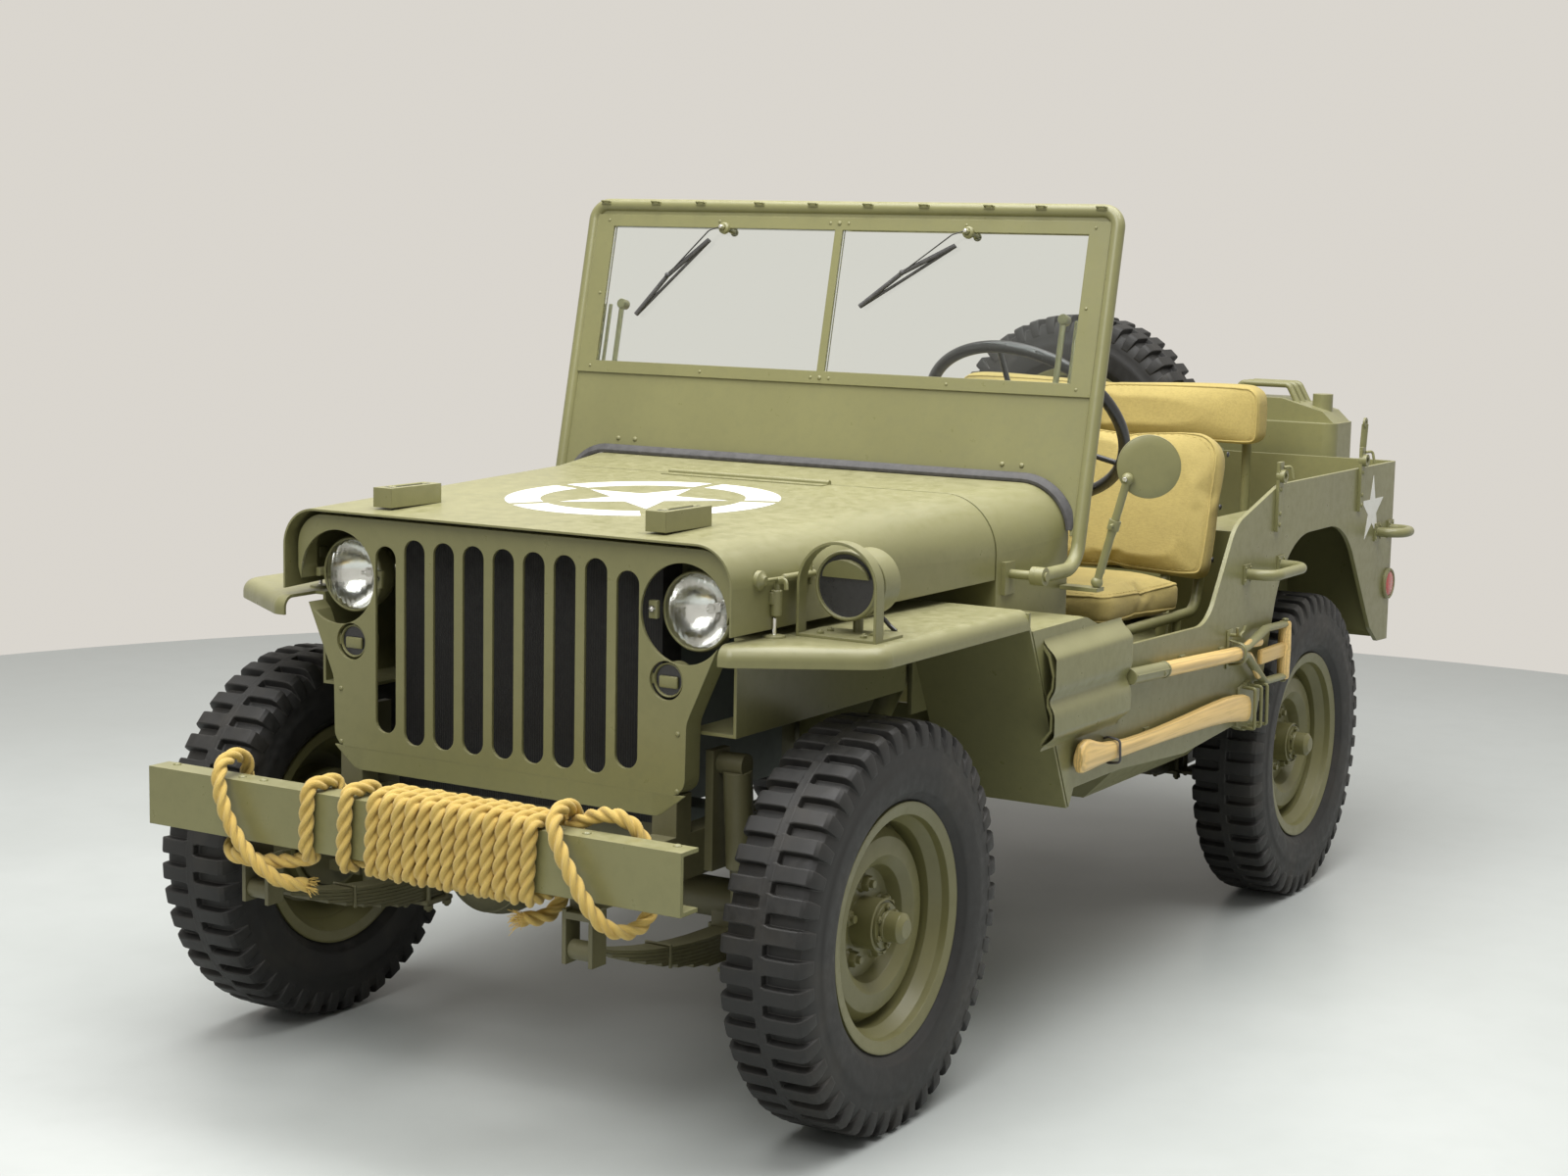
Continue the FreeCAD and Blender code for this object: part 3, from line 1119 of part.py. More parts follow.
def blade_pocket():
    """The pressed skin behind the left front fender that the shovel's blade sits in."""
    z = s.shovel_z
    y = s.body_half
    wall = s.pocket_wall
    skin = ((0, 108), (14, 90), (24, 50), (22, 24), (14, 6), (14, -6), (22, -24), (22, -56), (0, -86))
    room = ((-1, 100), (14, 84), (24, 48), (22, 25), (14, 10), (14, -10), (22, -26), (22, -54), (-1, -78))
    span = (-s.pocket_aft, -s.pocket_front)
    outer = extrude("YZ", [(y + out, z + up) for out, up in skin], span)
    inner = extrude("YZ", [(y + out - (wall if out > 0 else 0), z + up) for out, up in room],
                    (span[0] - 1, span[1] + 1))
    return cut(outer, inner)


def body_sides():
    rounds = ((1, 60), (2, 8), (3, 8), (4, 110), (5, 110), (6, 160), (10, 20), (11, 230), (12, 230))
    panel = extrude("XZ", side_outline(), (s.body_half - s.panel_wall, s.body_half), rounds)
    node("body_sides", fuse(panel, blade_pocket(), *tool_clamps()), mirrored(panel))


def rear_panel():
    wall = s.panel_wall
    half = s.body_half
    turn = s.corner_radius
    outer = extrude("XY", [(-s.body_aft + turn, -half), (-s.body_aft + turn, half),
                           (-s.body_aft, half), (-s.body_aft, -half)],
                    (s.rear_bottom, s.body_top), ((2, turn - 1), (3, turn - 1)))
    inner = extrude("XY", [(-s.body_aft + turn + 1, -half + wall), (-s.body_aft + turn + 1, half - wall),
                           (-s.body_aft + wall, half - wall), (-s.body_aft + wall, -half + wall)],
                    (s.rear_bottom - 1, s.body_top + 1), ((2, turn - wall - 1), (3, turn - wall - 1)))
    node("rear_panel", cut(outer, inner))


def tub_floor():
    inside = s.body_half - s.panel_wall
    wall = s.floor_wall
    front = -s.cowl_seam_aft - s.cowl_wall
    back = -s.body_aft + s.panel_wall
    low = s.rail_top + s.running_gap
    high = low + wall
    step = -s.riser_aft
    main = box((step, front), (-inside, inside), (low, high))
    bare = s.tunnel_half - wall
    tunnel_cut = box((-s.tunnel_aft, front + 1), (-bare, bare), (low - 1, s.tunnel_z - wall))
    tunnel = box((-s.tunnel_aft - wall, front), (-s.tunnel_half, s.tunnel_half), (low, s.tunnel_z))
    riser = box((step, step + wall), (-inside, inside), (low, s.rear_floor_z + wall))
    deck = box((back, step + wall), (-s.wheelhouse_inner, s.wheelhouse_inner),
               (s.rear_floor_z, s.rear_floor_z + wall))
    houses = []
    for way in (1, -1):
        side = (s.wheelhouse_inner, inside) if way > 0 else (-inside, -s.wheelhouse_inner)
        hollow = ((s.wheelhouse_inner + wall, inside + 1) if way > 0
                  else (-inside - 1, -s.wheelhouse_inner - wall))
        shell = box((rear_x - 420, step), side, (s.rear_floor_z, s.arch_top + 16))
        room = box((rear_x - 420 + wall, step - wall), hollow, (s.rear_floor_z - 1, s.arch_top + 16 - wall))
        houses.append(cut(shell, room))
        houses.append(box((-s.body_aft + s.corner_radius, rear_x - 420 + wall), side,
                          (s.rear_floor_z, s.rear_floor_z + wall)))
    inner = s.rail_outer + 18
    sump = extrude("YZ", [(inner, s.sump_z), (s.sump_outer - 60, s.sump_z),
                          (s.sump_outer, s.sump_z + 60), (s.sump_outer, low + 1), (inner, low + 1)],
                   (-s.sump_aft, -s.sump_front))
    lever_slot = box((-1020, -840), (-112, 8), (s.tunnel_z - wall - 1, s.tunnel_z + 1))
    floor = cut(fuse(main, tunnel, riser, deck, sump, *houses), tunnel_cut, lever_slot)
    mounts = [box((x - 40, x), (y - 24, y + 24), (s.rail_top + s.running_gap, s.rear_floor_z))
              for x in (dim(-1800), dim(-2450)) for y in both((s.rail_inner + s.rail_outer) / 2)]
    node("tub_floor", fuse(floor, *mounts, *seat_lugs()))


# ---------------------------------------------------------------- windshield


def shield_x(z):
    """Station of the windshield's middle plane at a height."""
    return -s.pillar_aft - (z - s.pivot_z) * (sine(s.lean) / cosine(s.lean))


def windshield():
    half = s.tube_half
    tube_y = half
    path = [(-s.pivot_aft, -tube_y, s.pivot_z), (-s.pillar_aft, -tube_y, s.pivot_z),
            (shield_x(s.top_z), -tube_y, s.top_z), (shield_x(s.top_z), tube_y, s.top_z),
            (-s.pillar_aft, tube_y, s.pivot_z), (-s.pivot_aft, tube_y, s.pivot_z)]
    hoop = tube(path, s.tube_radius, [s.tube_bend, 34, 34, s.tube_bend])
    lean = Rotation(Vector(0, 1, 0), -s.lean.value)

    def leaned(low, high, y_low, y_high, thickness):
        """A plate in the windshield's own plane between two heights."""
        along = (dim(low) - s.pivot_z) / cosine(s.lean)
        obj = doc.addObject("Part::Box", "Leaned")
        bind(obj, "Length", thickness)
        bind(obj, "Width", dim(y_high) - y_low)
        bind(obj, "Height", (dim(high) - low) / cosine(s.lean))
        return place(obj, (-s.pillar_aft - along * sine(s.lean) - thickness / 2 * cosine(s.lean), y_low,
                           s.pivot_z + along * cosine(s.lean) - thickness / 2 * sine(s.lean)), lean)

    reach = half - s.tube_radius + 2
    panel_bottom = s.cowl_top + s.seal_gap
    panel = leaned(panel_bottom, s.sash_bottom, -reach, reach, s.shield_wall)
    turn_y = s.cowl_half - s.cowl_corner
    turn_z = s.cowl_top - s.cowl_corner
    round_cut = cylinder(s.cowl_corner + s.seal_gap, (-s.cowl_aft - 100, turn_y, turn_z), "X", 200)
    ear = cut(leaned(turn_z, panel_bottom + 1, turn_y, reach, s.shield_wall), round_cut)
    glass_out = s.glass_half
    bar = s.sash_bar
    bars = [leaned(s.sash_bottom, s.sash_bottom + bar, -reach, reach, s.sash_wall),
            leaned(s.sash_top - bar, s.sash_top, -reach, reach, s.sash_wall),
            leaned(s.sash_bottom, s.sash_top, -reach, -glass_out + bar, s.sash_wall),
            leaned(s.sash_bottom, s.sash_top, glass_out - bar, reach, s.sash_wall),
            leaned(s.sash_bottom, s.sash_top, -9, 9, s.sash_wall)]
    header = leaned(s.sash_top, s.top_z, -reach, reach, s.shield_wall)
    eyes = []
    for way in (1, -1):
        eye = cylinder(s.tube_radius + 4, (-s.pivot_aft, tube_y * way - 12, s.pivot_z), "Y", 24)
        eyes.append(eye)
    bores = [cylinder(s.pivot_pin_radius + s.bore_gap, (-s.pivot_aft, tube_y * way - 14, s.pivot_z), "Y", 28)
             for way in (1, -1)]
    node("windshield_frame", cut(fuse(hoop, panel, header, ear, mirrored(ear), *bars, *eyes), *bores))

    gap = s.running_gap
    panes = []
    for low_y, high_y in ((-glass_out + bar + gap, -9 - gap), (9 + gap, glass_out - bar - gap)):
        panes.append(leaned(s.sash_bottom + bar + gap, s.sash_top - bar - gap, low_y, high_y, dim(6)))
    node("windshield_glass", *panes)


# ---------------------------------------------------------------- seats


def floor_top():
    return s.rail_top + s.running_gap + s.floor_wall


def seat_pivot():
    """Place of the passenger seat's tipping pins, as x and z."""
    return -s.seat_front - 30, floor_top() + s.seat_eye + 2


def seat_lugs():
    """Pins and lugs on the floor that the passenger seat tips on."""
    x, z = seat_pivot()
    parts = []
    for way in (1, -1):
        y = s.passenger_y + (s.seat_width / 2 - s.seat_tube - 4) * way
        parts.append(cylinder(s.seat_pin, (x, y - s.seat_eye - 9, z), "Y", s.seat_eye * 2 + 18))
        for start in (y - s.seat_eye - 7, y + s.seat_eye + 1):
            parts.append(box((x - 9, x + 9), (start, start + 6), (floor_top() - 1, z + 9)))
    return parts


def front_seat(y, tips):
    """Cushion, back pad and the tube frame under them, for one front seat."""
    half = s.seat_width / 2
    side = (y - half, y + half)
    back_side = (y - s.back_width / 2, y + s.back_width / 2)
    cushion = extrude("XZ", [(-s.seat_front, s.cushion_z + 12), (-s.seat_aft, s.cushion_z),
                             (-s.seat_aft, s.cushion_z + s.cushion_thick - 12),
                             (-s.seat_front, s.cushion_z + s.cushion_thick)],
                      side, ((3, 25), (2, 15)))
    rake = sine(s.back_lean) / cosine(s.back_lean)
    top_x = -s.back_aft - (s.back_high - s.back_low) * rake
    back = extrude("XZ", [(-s.back_aft, s.back_low), (top_x, s.back_high),
                          (top_x + s.back_thick, s.back_high), (-s.back_aft + s.back_thick, s.back_low)],
                   back_side, ((1, 25), (2, 25)))
    radius = s.seat_tube
    under = s.cushion_z - radius - s.pad_gap
    front_x, pivot_z = seat_pivot()
    back_x = -s.back_aft + (s.back_low - under) * rake - (radius + s.pad_gap) / cosine(s.back_lean)
    foot = pivot_z if tips else floor_top()
    heel = floor_top() + s.running_gap if tips else floor_top()
    tubes = []
    bores = []
    for way in (1, -1):
        tube_y = y + (half - radius - 4) * way
        lift = s.back_high - 40 - under
        tubes.append(tube([(front_x, tube_y, foot), (front_x, tube_y, under),
                           (back_x, tube_y, under), (back_x - lift * rake, tube_y, s.back_high - 40)],
                          radius, [40, 50]))
        tubes.append(cylinder(radius - 2, (-s.seat_aft + 30, tube_y, heel), "Z", under - heel))
        if tips:
            tubes.append(cylinder(s.seat_eye, (front_x, tube_y - s.seat_eye, pivot_z), "Y", s.seat_eye * 2))
            bores.append(cylinder(s.seat_pin + s.bore_gap, (front_x, tube_y - s.seat_eye - 1, pivot_z), "Y",
                                  s.seat_eye * 2 + 2))
    pan = box((-s.seat_aft, -s.seat_front - 80), (y - half + 10, y + half - 10), (under - 3, under + 1))
    rail_z = s.back_low + 60
    rail_x = back_x - (rail_z - under) * rake
    cross = cylinder(radius - 3, (rail_x, y - half + radius + 4, rail_z), "Y", s.seat_width - radius * 2 - 8)
    frame_piece = fuse(pan, cross, *tubes)
    return cushion, back, cut(frame_piece, *bores) if tips else frame_piece


def seats():
    cushion, back, frame_left = front_seat(s.driver_y, False)
    half = s.rear_seat_half
    rear_cushion = box((-s.rear_back_aft + 60, -s.rear_cushion_front), (-half, half),
                       (s.rear_cushion_z, s.rear_cushion_z + s.rear_cushion_thick))
    rear_back = box((-s.rear_back_aft - s.rear_back_thick, -s.rear_back_aft),
                    (-s.rear_back_half, s.rear_back_half),
                    (s.rear_back_low, s.rear_back_high))
    node("seat_cushions", cushion, back, rear_cushion, rear_back)

    radius = s.seat_tube
    under = s.rear_cushion_z - radius - s.pad_gap
    deck = s.rear_floor_z + s.floor_wall
    tubes = []
    behind = -s.rear_back_aft - s.rear_back_thick - radius - s.pad_gap
    for way in (1, -1):
        y = (half - 40) * way
        tubes.append(tube([(-s.rear_cushion_front - 30, y, deck), (-s.rear_cushion_front - 30, y, under),
                           (behind, y, under), (behind, y, s.rear_back_high - 30)], radius, [40, 50]))
        tubes.append(cylinder(radius - 2, (-s.rear_back_aft + 40, y, deck), "Z", under - deck))
    pan = box((-s.rear_back_aft + 60, -s.rear_cushion_front - 80), (-half + 20, half - 20),
              (under - 3, under + 1))
    cross = cylinder(radius - 3, (behind, -half + 40, s.rear_back_low + 40), "Y", half * 2 - 80)
    node("seat_frames", frame_left, fuse(pan, cross, *tubes))

    cushion, back, frame_right = front_seat(s.passenger_y, True)
    node("passenger_cushions", cushion, back)
    node("passenger_seat", frame_right)


# ---------------------------------------------------------------- fittings


def handle(x, z, span):
    """A bent grab handle standing out from the left side."""
    reach = s.body_half + s.handle_standoff - s.handle_radius
    wall = s.body_half + 2
    return fuse(tube([(x + span / 2, wall, z), (x + span / 2, reach, z), (x - span / 2, reach, z),
                      (x - span / 2, wall, z)], s.handle_radius, 40),
                box((x + span / 2 - 22, x + span / 2 + 22), (s.body_half, s.body_half + 4), (z - 22, z + 22)),
                box((x - span / 2 - 22, x - span / 2 + 22), (s.body_half, s.body_half + 4), (z - 22, z + 22)))


def bow_bracket(x):
    """Upright strap on the body side with a bored boss for a canopy bow."""
    plate = box((x - s.bow_bar / 2, x + s.bow_bar / 2), (s.body_half, s.body_half + s.bow_thick),
                (s.bow_low, s.bow_high))
    z = s.body_top + 20
    boss = cylinder(s.bow_boss, (x, s.body_half, z), "Y", s.bow_thick + 10)
    bore = cylinder(s.bow_bore, (x, s.body_half - 1, z), "Y", s.bow_thick + 12)
    return cut(fuse(plate, boss), bore)


def fittings():
    left = [handle(-s.side_handle_aft, s.side_handle_z, s.handle_span),
            handle(-s.rear_handle_aft + 20, s.rear_handle_z, dim(100)),
            bow_bracket(-s.bow_front_aft), bow_bracket(-s.bow_rear_aft)]
    node("body_handles", *left, *[mirrored(piece) for piece in left])

    foot = (-s.cowl_aft + 17, s.mirror_foot_y, s.mirror_foot_z)
    top = (-s.cowl_aft + 17, s.mirror_ball_y, s.mirror_ball_z)
    ball_radius = s.mirror_ball_radius
    bracket = box((-s.cowl_aft, -s.cowl_aft + 34), (s.cowl_half + s.running_gap, s.mirror_foot_y + 8),
                  (s.mirror_foot_z - ball_radius - 6, s.mirror_foot_z - ball_radius + 2))
    arm = tube([foot, top], s.mirror_arm, [])
    way = Vector(cos(radians(s.mirror_turn.value)), sin(radians(s.mirror_turn.value)), 0)
    back = vector((-s.cowl_aft - s.mirror_back, s.mirror_y, s.mirror_z)) - way * float(s.mirror_thick / 2)
    disc = cylinder(s.mirror_radius, back, "Z", s.mirror_thick, Rotation(Vector(0, 0, 1), way))
    node("mirror", fuse(bracket, arm, ball(ball_radius, foot), ball(ball_radius, top), disc))


def rear_load():
    """Spare carrier post and the fuel can in its tray on the tail panel."""
    back = -s.body_aft
    tray_half = s.can_width / 2 + s.can_tray
    y = s.can_y
    can_front = -s.can_aft + s.can_depth / 2
    can_back = -s.can_aft - s.can_depth / 2
    corners = ((0, s.can_corner), (1, s.can_corner), (2, s.can_corner), (3, s.can_corner))
    half = s.can_width / 2
    body = extrude("XY", [(can_back, y - half), (can_front, y - half), (can_front, y + half),
                          (can_back, y + half)], (s.can_bottom, s.can_top - 60), corners)
    shoulder = extrude("YZ", [(y - half + 8, s.can_top - 60), (y + half - 8, s.can_top - 60),
                              (y + half - 40, s.can_top - 30), (y + 20, s.can_top),
                              (y - half + 40, s.can_top)],
                       (can_back + 20, can_front - 20))
    grips = [tube([(-s.can_aft + way, y - 120, s.can_top - 4), (-s.can_aft + way, y - 100, s.can_top + 34),
                   (-s.can_aft + way, y + 30, s.can_top + 34), (-s.can_aft + way, y + 60, s.can_top - 20)],
                  8, 16) for way in (-40, 0, 40)]
    spout = cylinder(26, (-s.can_aft, y + half - 62, s.can_top - 50), "Z", 62)
    node("jerrycan", fuse(body, shoulder, spout, *grips))

    floor_low = s.can_bottom - s.can_tray - s.running_gap
    tray = [box((can_back - 8, back), (y - tray_half, y + tray_half), (floor_low, floor_low + s.can_tray)),
            box((can_back - 8, can_back - s.running_gap), (y - tray_half, y + tray_half),
                (floor_low, floor_low + 90)),
            box((can_back - 8, back), (y - tray_half, y - tray_half + 6), (floor_low, floor_low + 90)),
            box((can_back - 8, back), (y + tray_half - 6, y + tray_half), (floor_low, floor_low + 90))]
    post_z = s.spare_z
    post = [box((back - 14, back), (s.spare_y - 90, s.spare_y + 90), (post_z - 160, s.body_top - 20)),
            cylinder(16, (-s.spare_aft - s.bolt_plane + 6, s.spare_y, post_z), "X",
                     s.spare_aft - s.body_aft + s.bolt_plane - 6)]
    node("rear_carriers", fuse(*tray), fuse(*post))


def shovel_line(x):
    """Height of the shovel's shaft at a station."""
    return s.shovel_z + (x + s.pocket_aft) * s.shovel_fall


def tools():
    """Shovel over axe, held flat against the left side."""
    y = s.body_half + s.tool_gap + s.tool_radius
    near = s.body_half + 2
    radius = s.tool_radius
    mouth = -s.pocket_aft - 7
    junction = -s.shovel_socket_aft
    fork = -s.shovel_grip_aft
    socket = tube([(mouth, y, shovel_line(mouth)), (junction, y, shovel_line(junction))], radius + 0.5, [])
    grip = tube([(junction, y, shovel_line(junction)), (fork, y, shovel_line(fork))], radius, [])
    strap_z = shovel_line(-s.pocket_aft)
    strap = box((mouth - 20, -s.blade_back + 40), (near, near + s.blade_thick + 1.5),
                (strap_z - 14, strap_z + 14))
    blade = box((-s.blade_back, -s.blade_front), (near, near + s.blade_thick),
                (strap_z - s.blade_half, strap_z + s.blade_half))
    end = -s.shovel_end_aft
    arms = []
    for way in (1, -1):
        spread = s.shovel_end_z + s.shovel_end_half * way
        arms.append(tube([(fork + 20, y, shovel_line(fork)), (fork - 60, y, shovel_line(fork) + 6 * way),
                          (-s.shovel_bend_aft, y, spread + 6), (end, y, spread)], s.shovel_fork, 40))
    handle = cylinder(radius - 2, (end, y, s.shovel_end_z - s.shovel_end_half - 6), "Z",
                      s.shovel_end_half * 2 + 12)
    shovel = fuse(socket, grip, strap, blade, handle, *arms)

    low = s.body_half + s.tool_gap
    z = s.axe_z
    half = s.axe_half
    front = -s.axe_front
    back = -s.axe_aft
    handle = extrude("XZ", [(front, z + 36), (front - 36, z + 46), (front - 90, z + half + 12),
                            (front - 260, z + half - 4), (back + 130, z + half + 4),
                            (back + 14, z + half - 8), (back, z - half - 30), (back + 130, z - half - 10),
                            (front - 260, z - half + 4), (front - 120, z - half + 6), (front, z - half + 2)],
                     (low, low + s.axe_thick), ((0, 14), (1, 24), (10, 14)))
    head = box((-s.axe_head_aft, back + 20), (low, low + s.axe_thick + 4),
               (z - 20 - s.axe_head_half, z - 20 + s.axe_head_half))
    node("pioneer_tools", shovel, fuse(handle, head))


# ---------------------------------------------------------------- rope on the bumper


def cord_tube(points):
    """A tube along a free stretch of rope, every bend as wide as its two runs allow."""
    corners = [vector(p) for p in points]
    bends = []
    for before, here, after in zip(corners, corners[1:], corners[2:]):
        turn = acos((here - before).normalize().dot((after - here).normalize()))
        bends.append(0.45 * min((here - before).Length, (after - here).Length) / tan(turn / 2))
    print("rope bend radii:", " ".join(f"{bend:.0f}" for bend in bends))
    return tube(points, s.rope_radius, bends)


# Free stretches of the rope as x, y, z from the front axle: to the end under the right side
# of the bumper, and to the end under the winding, each starting on the face of its coil.
ROPE_RIGHT = [(482, -204.5, 457), (490, -240, 447), (498, -288, 440), (502, -338, 437),
              (500, -388, 438), (466, -420, 446), (430, -424, 478), (427, -418, 524), (430, -411, 570),
              (442, -404, 606), (486, -396, 616), (530, -388, 602), (540, -376, 556),
              (539, -356, 508), (537, -324, 466), (530, -284, 430), (514, -248, 408),
              (486, -222, 404)]
ROPE_LEFT = [(447.7, 304.7, 570), (447, 332, 586), (450, 372, 604), (450, 414, 606),
             (438, 446, 580), (432, 462, 530), (432, 468, 478), (446, 466, 438),
             (484, 458, 424), (522, 440, 434), (538, 414, 468), (539, 384, 512),
             (539, 354, 560), (528, 332, 602), (484, 320, 616), (436, 312, 606),
             (410, 302, 566), (406, 290, 510), (412, 278, 456), (434, 272, 422),
             (468, 264, 414), (500, 250, 420)]


def rope():
    """One closed winding around the bumper, its separate turns and its two free stretches."""
    gap = s.running_gap
    thick = s.rope_radius * 2
    back = s.bumper_face - s.bumper_depth

    def winding(y_low, y_high):
        outer = extrude("XZ", [(back - gap - thick, s.bumper_bottom - gap - thick),
                               (s.bumper_face + gap + thick, s.bumper_bottom - gap - thick),
                               (s.bumper_face + gap + thick, s.bumper_top + gap + thick),
                               (back - gap - thick, s.bumper_top + gap + thick)],
                        (y_low, y_high), [(k, thick) for k in range(4)])
        inner = box((back - gap, s.bumper_face + gap), (y_low - 1, y_high + 1),
                    (s.bumper_bottom - gap, s.bumper_top + gap))
        return cut(outer, inner)

    turns = [winding(s.wind_right, s.wind_left)]
    for y in (s.single_turn_a, s.single_turn_b):
        turns.append(winding(y - s.rope_radius, y + s.rope_radius))
    node("rope_coil", *turns)
    node("rope_end_right", cord_tube(ROPE_RIGHT))
    node("rope_end_left", cord_tube(ROPE_LEFT))


# ---------------------------------------------------------------- build


wheels_and_tyres()
axles()
springs()
shocks()
knuckle("left")
knuckle("right")
tie_rod()
steering()
frame()
bumpers()
power_train()
grille()
lamps()
blackout_lamp()
hood()
fenders()
cowl()
body_sides()
rear_panel()
tub_floor()
windshield()
seats()
fittings()
rear_load()
tools()
rope()

doc.recompute()

faults = [f"{obj.Name}: {obj.State}" for obj in doc.Objects
          if any(word in obj.State for word in ("Invalid", "Error"))]
for name, obj in nodes.items():
    if obj.Shape.isNull() or not obj.Shape.isValid() or not obj.Shape.Solids:
        faults.append(f"{name}: no valid solid")
if faults:
    raise RuntimeError("\n".join(faults))

os.makedirs("parts", exist_ok=True)
for name, obj in nodes.items():
    obj.Shape.exportStep(f"parts/{name}.step")
print(f"{len(nodes)} nodes written")
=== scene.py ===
import json
from math import acos, ceil, cos, degrees, hypot, pi, radians, sin, tan

import bmesh
import bpy
import numpy as np
from mathutils import Matrix, Vector, noise
from mathutils.bvhtree import BVHTree


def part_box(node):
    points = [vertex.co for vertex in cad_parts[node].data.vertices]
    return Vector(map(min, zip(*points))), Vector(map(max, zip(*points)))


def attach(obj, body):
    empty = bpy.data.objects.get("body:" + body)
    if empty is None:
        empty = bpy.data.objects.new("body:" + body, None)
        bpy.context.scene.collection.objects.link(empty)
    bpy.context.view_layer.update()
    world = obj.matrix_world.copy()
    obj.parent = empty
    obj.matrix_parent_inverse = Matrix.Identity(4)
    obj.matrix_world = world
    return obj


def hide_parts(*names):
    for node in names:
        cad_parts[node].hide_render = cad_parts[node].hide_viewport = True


# An open quarter-ton 4x4 scout car in satin olive paint. Places are written in millimetres from
# the front axle: x forward, y to the car's own left, z up from the ground. at() turns them into
# the row frame, in metres.

FRONT_AXLE_X = 1137.0
WHEELBASE, TRACK_HALF, AXLE_Z = 2032, 622.5, 362

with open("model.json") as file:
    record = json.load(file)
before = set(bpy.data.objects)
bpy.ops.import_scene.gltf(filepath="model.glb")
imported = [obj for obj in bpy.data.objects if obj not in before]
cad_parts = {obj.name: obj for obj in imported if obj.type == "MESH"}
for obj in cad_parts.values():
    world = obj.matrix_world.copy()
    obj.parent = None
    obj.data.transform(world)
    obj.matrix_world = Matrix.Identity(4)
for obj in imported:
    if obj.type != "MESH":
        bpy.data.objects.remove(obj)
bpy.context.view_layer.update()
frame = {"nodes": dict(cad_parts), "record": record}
SCENE = bpy.context.scene
SCENE.view_settings.view_transform = "Standard"

AHEAD, LEFT, UP = Vector((1, 0, 0)), Vector((0, 1, 0)), Vector((0, 0, 1))


def at(x, y, z):
    return Vector(((x + FRONT_AXLE_X) / 1000, y / 1000, z / 1000))


def new_object(name, data):
    made = bpy.data.objects.new(name, data)
    SCENE.collection.objects.link(made)
    return made


# ---------------------------------------------------------------- camera

CAMERA_PLACE = (4.9798, 2.7439, 1.5415)
CAMERA_YAW, CAMERA_PITCH, CAMERA_ROLL = 210.898, -7.724, 1.124
CAMERA_LENS, SENSOR_WIDTH, CAMERA_REACH = 59.38, 36, 200


def aim_camera():
    """The photograph's viewpoint: ahead and to the left, at eye height, looking slightly down."""
    yaw, pitch, roll = radians(CAMERA_YAW), radians(CAMERA_PITCH), radians(CAMERA_ROLL)
    look = Vector((cos(yaw) * cos(pitch), sin(yaw) * cos(pitch), sin(pitch)))
    right = look.cross(UP).normalized()
    up = right.cross(look)
    rolled_right = right * cos(roll) + up * sin(roll)
    rolled_up = up * cos(roll) - right * sin(roll)
    data = bpy.data.cameras.new("Camera")
    data.lens = CAMERA_LENS
    data.sensor_width = SENSOR_WIDTH
    data.clip_end = CAMERA_REACH
    camera = new_object("Camera", data)
    turn = Matrix((rolled_right, rolled_up, -look)).transposed().to_4x4()
    camera.matrix_world = Matrix.Translation(CAMERA_PLACE) @ turn
    SCENE.camera = camera


# ---------------------------------------------------------------- materials


def join(tree, source, target):
    """Sets a socket to a number or a colour, or links another node's output to it."""
    if isinstance(source, (int, float)):
        target.default_value = source
    elif isinstance(source, (tuple, list)):
        short = len(source) < len(target.default_value)
        target.default_value = (*source, 1) if short else source
    else:
        tree.links.new(source, target)


def add_node(tree, kind, inputs, **settings):
    node = tree.nodes.new("ShaderNode" + kind)
    for key, value in settings.items():
        setattr(node, key, value)
    for key, source in inputs.items():
        join(tree, source, node.inputs[key])
    return node


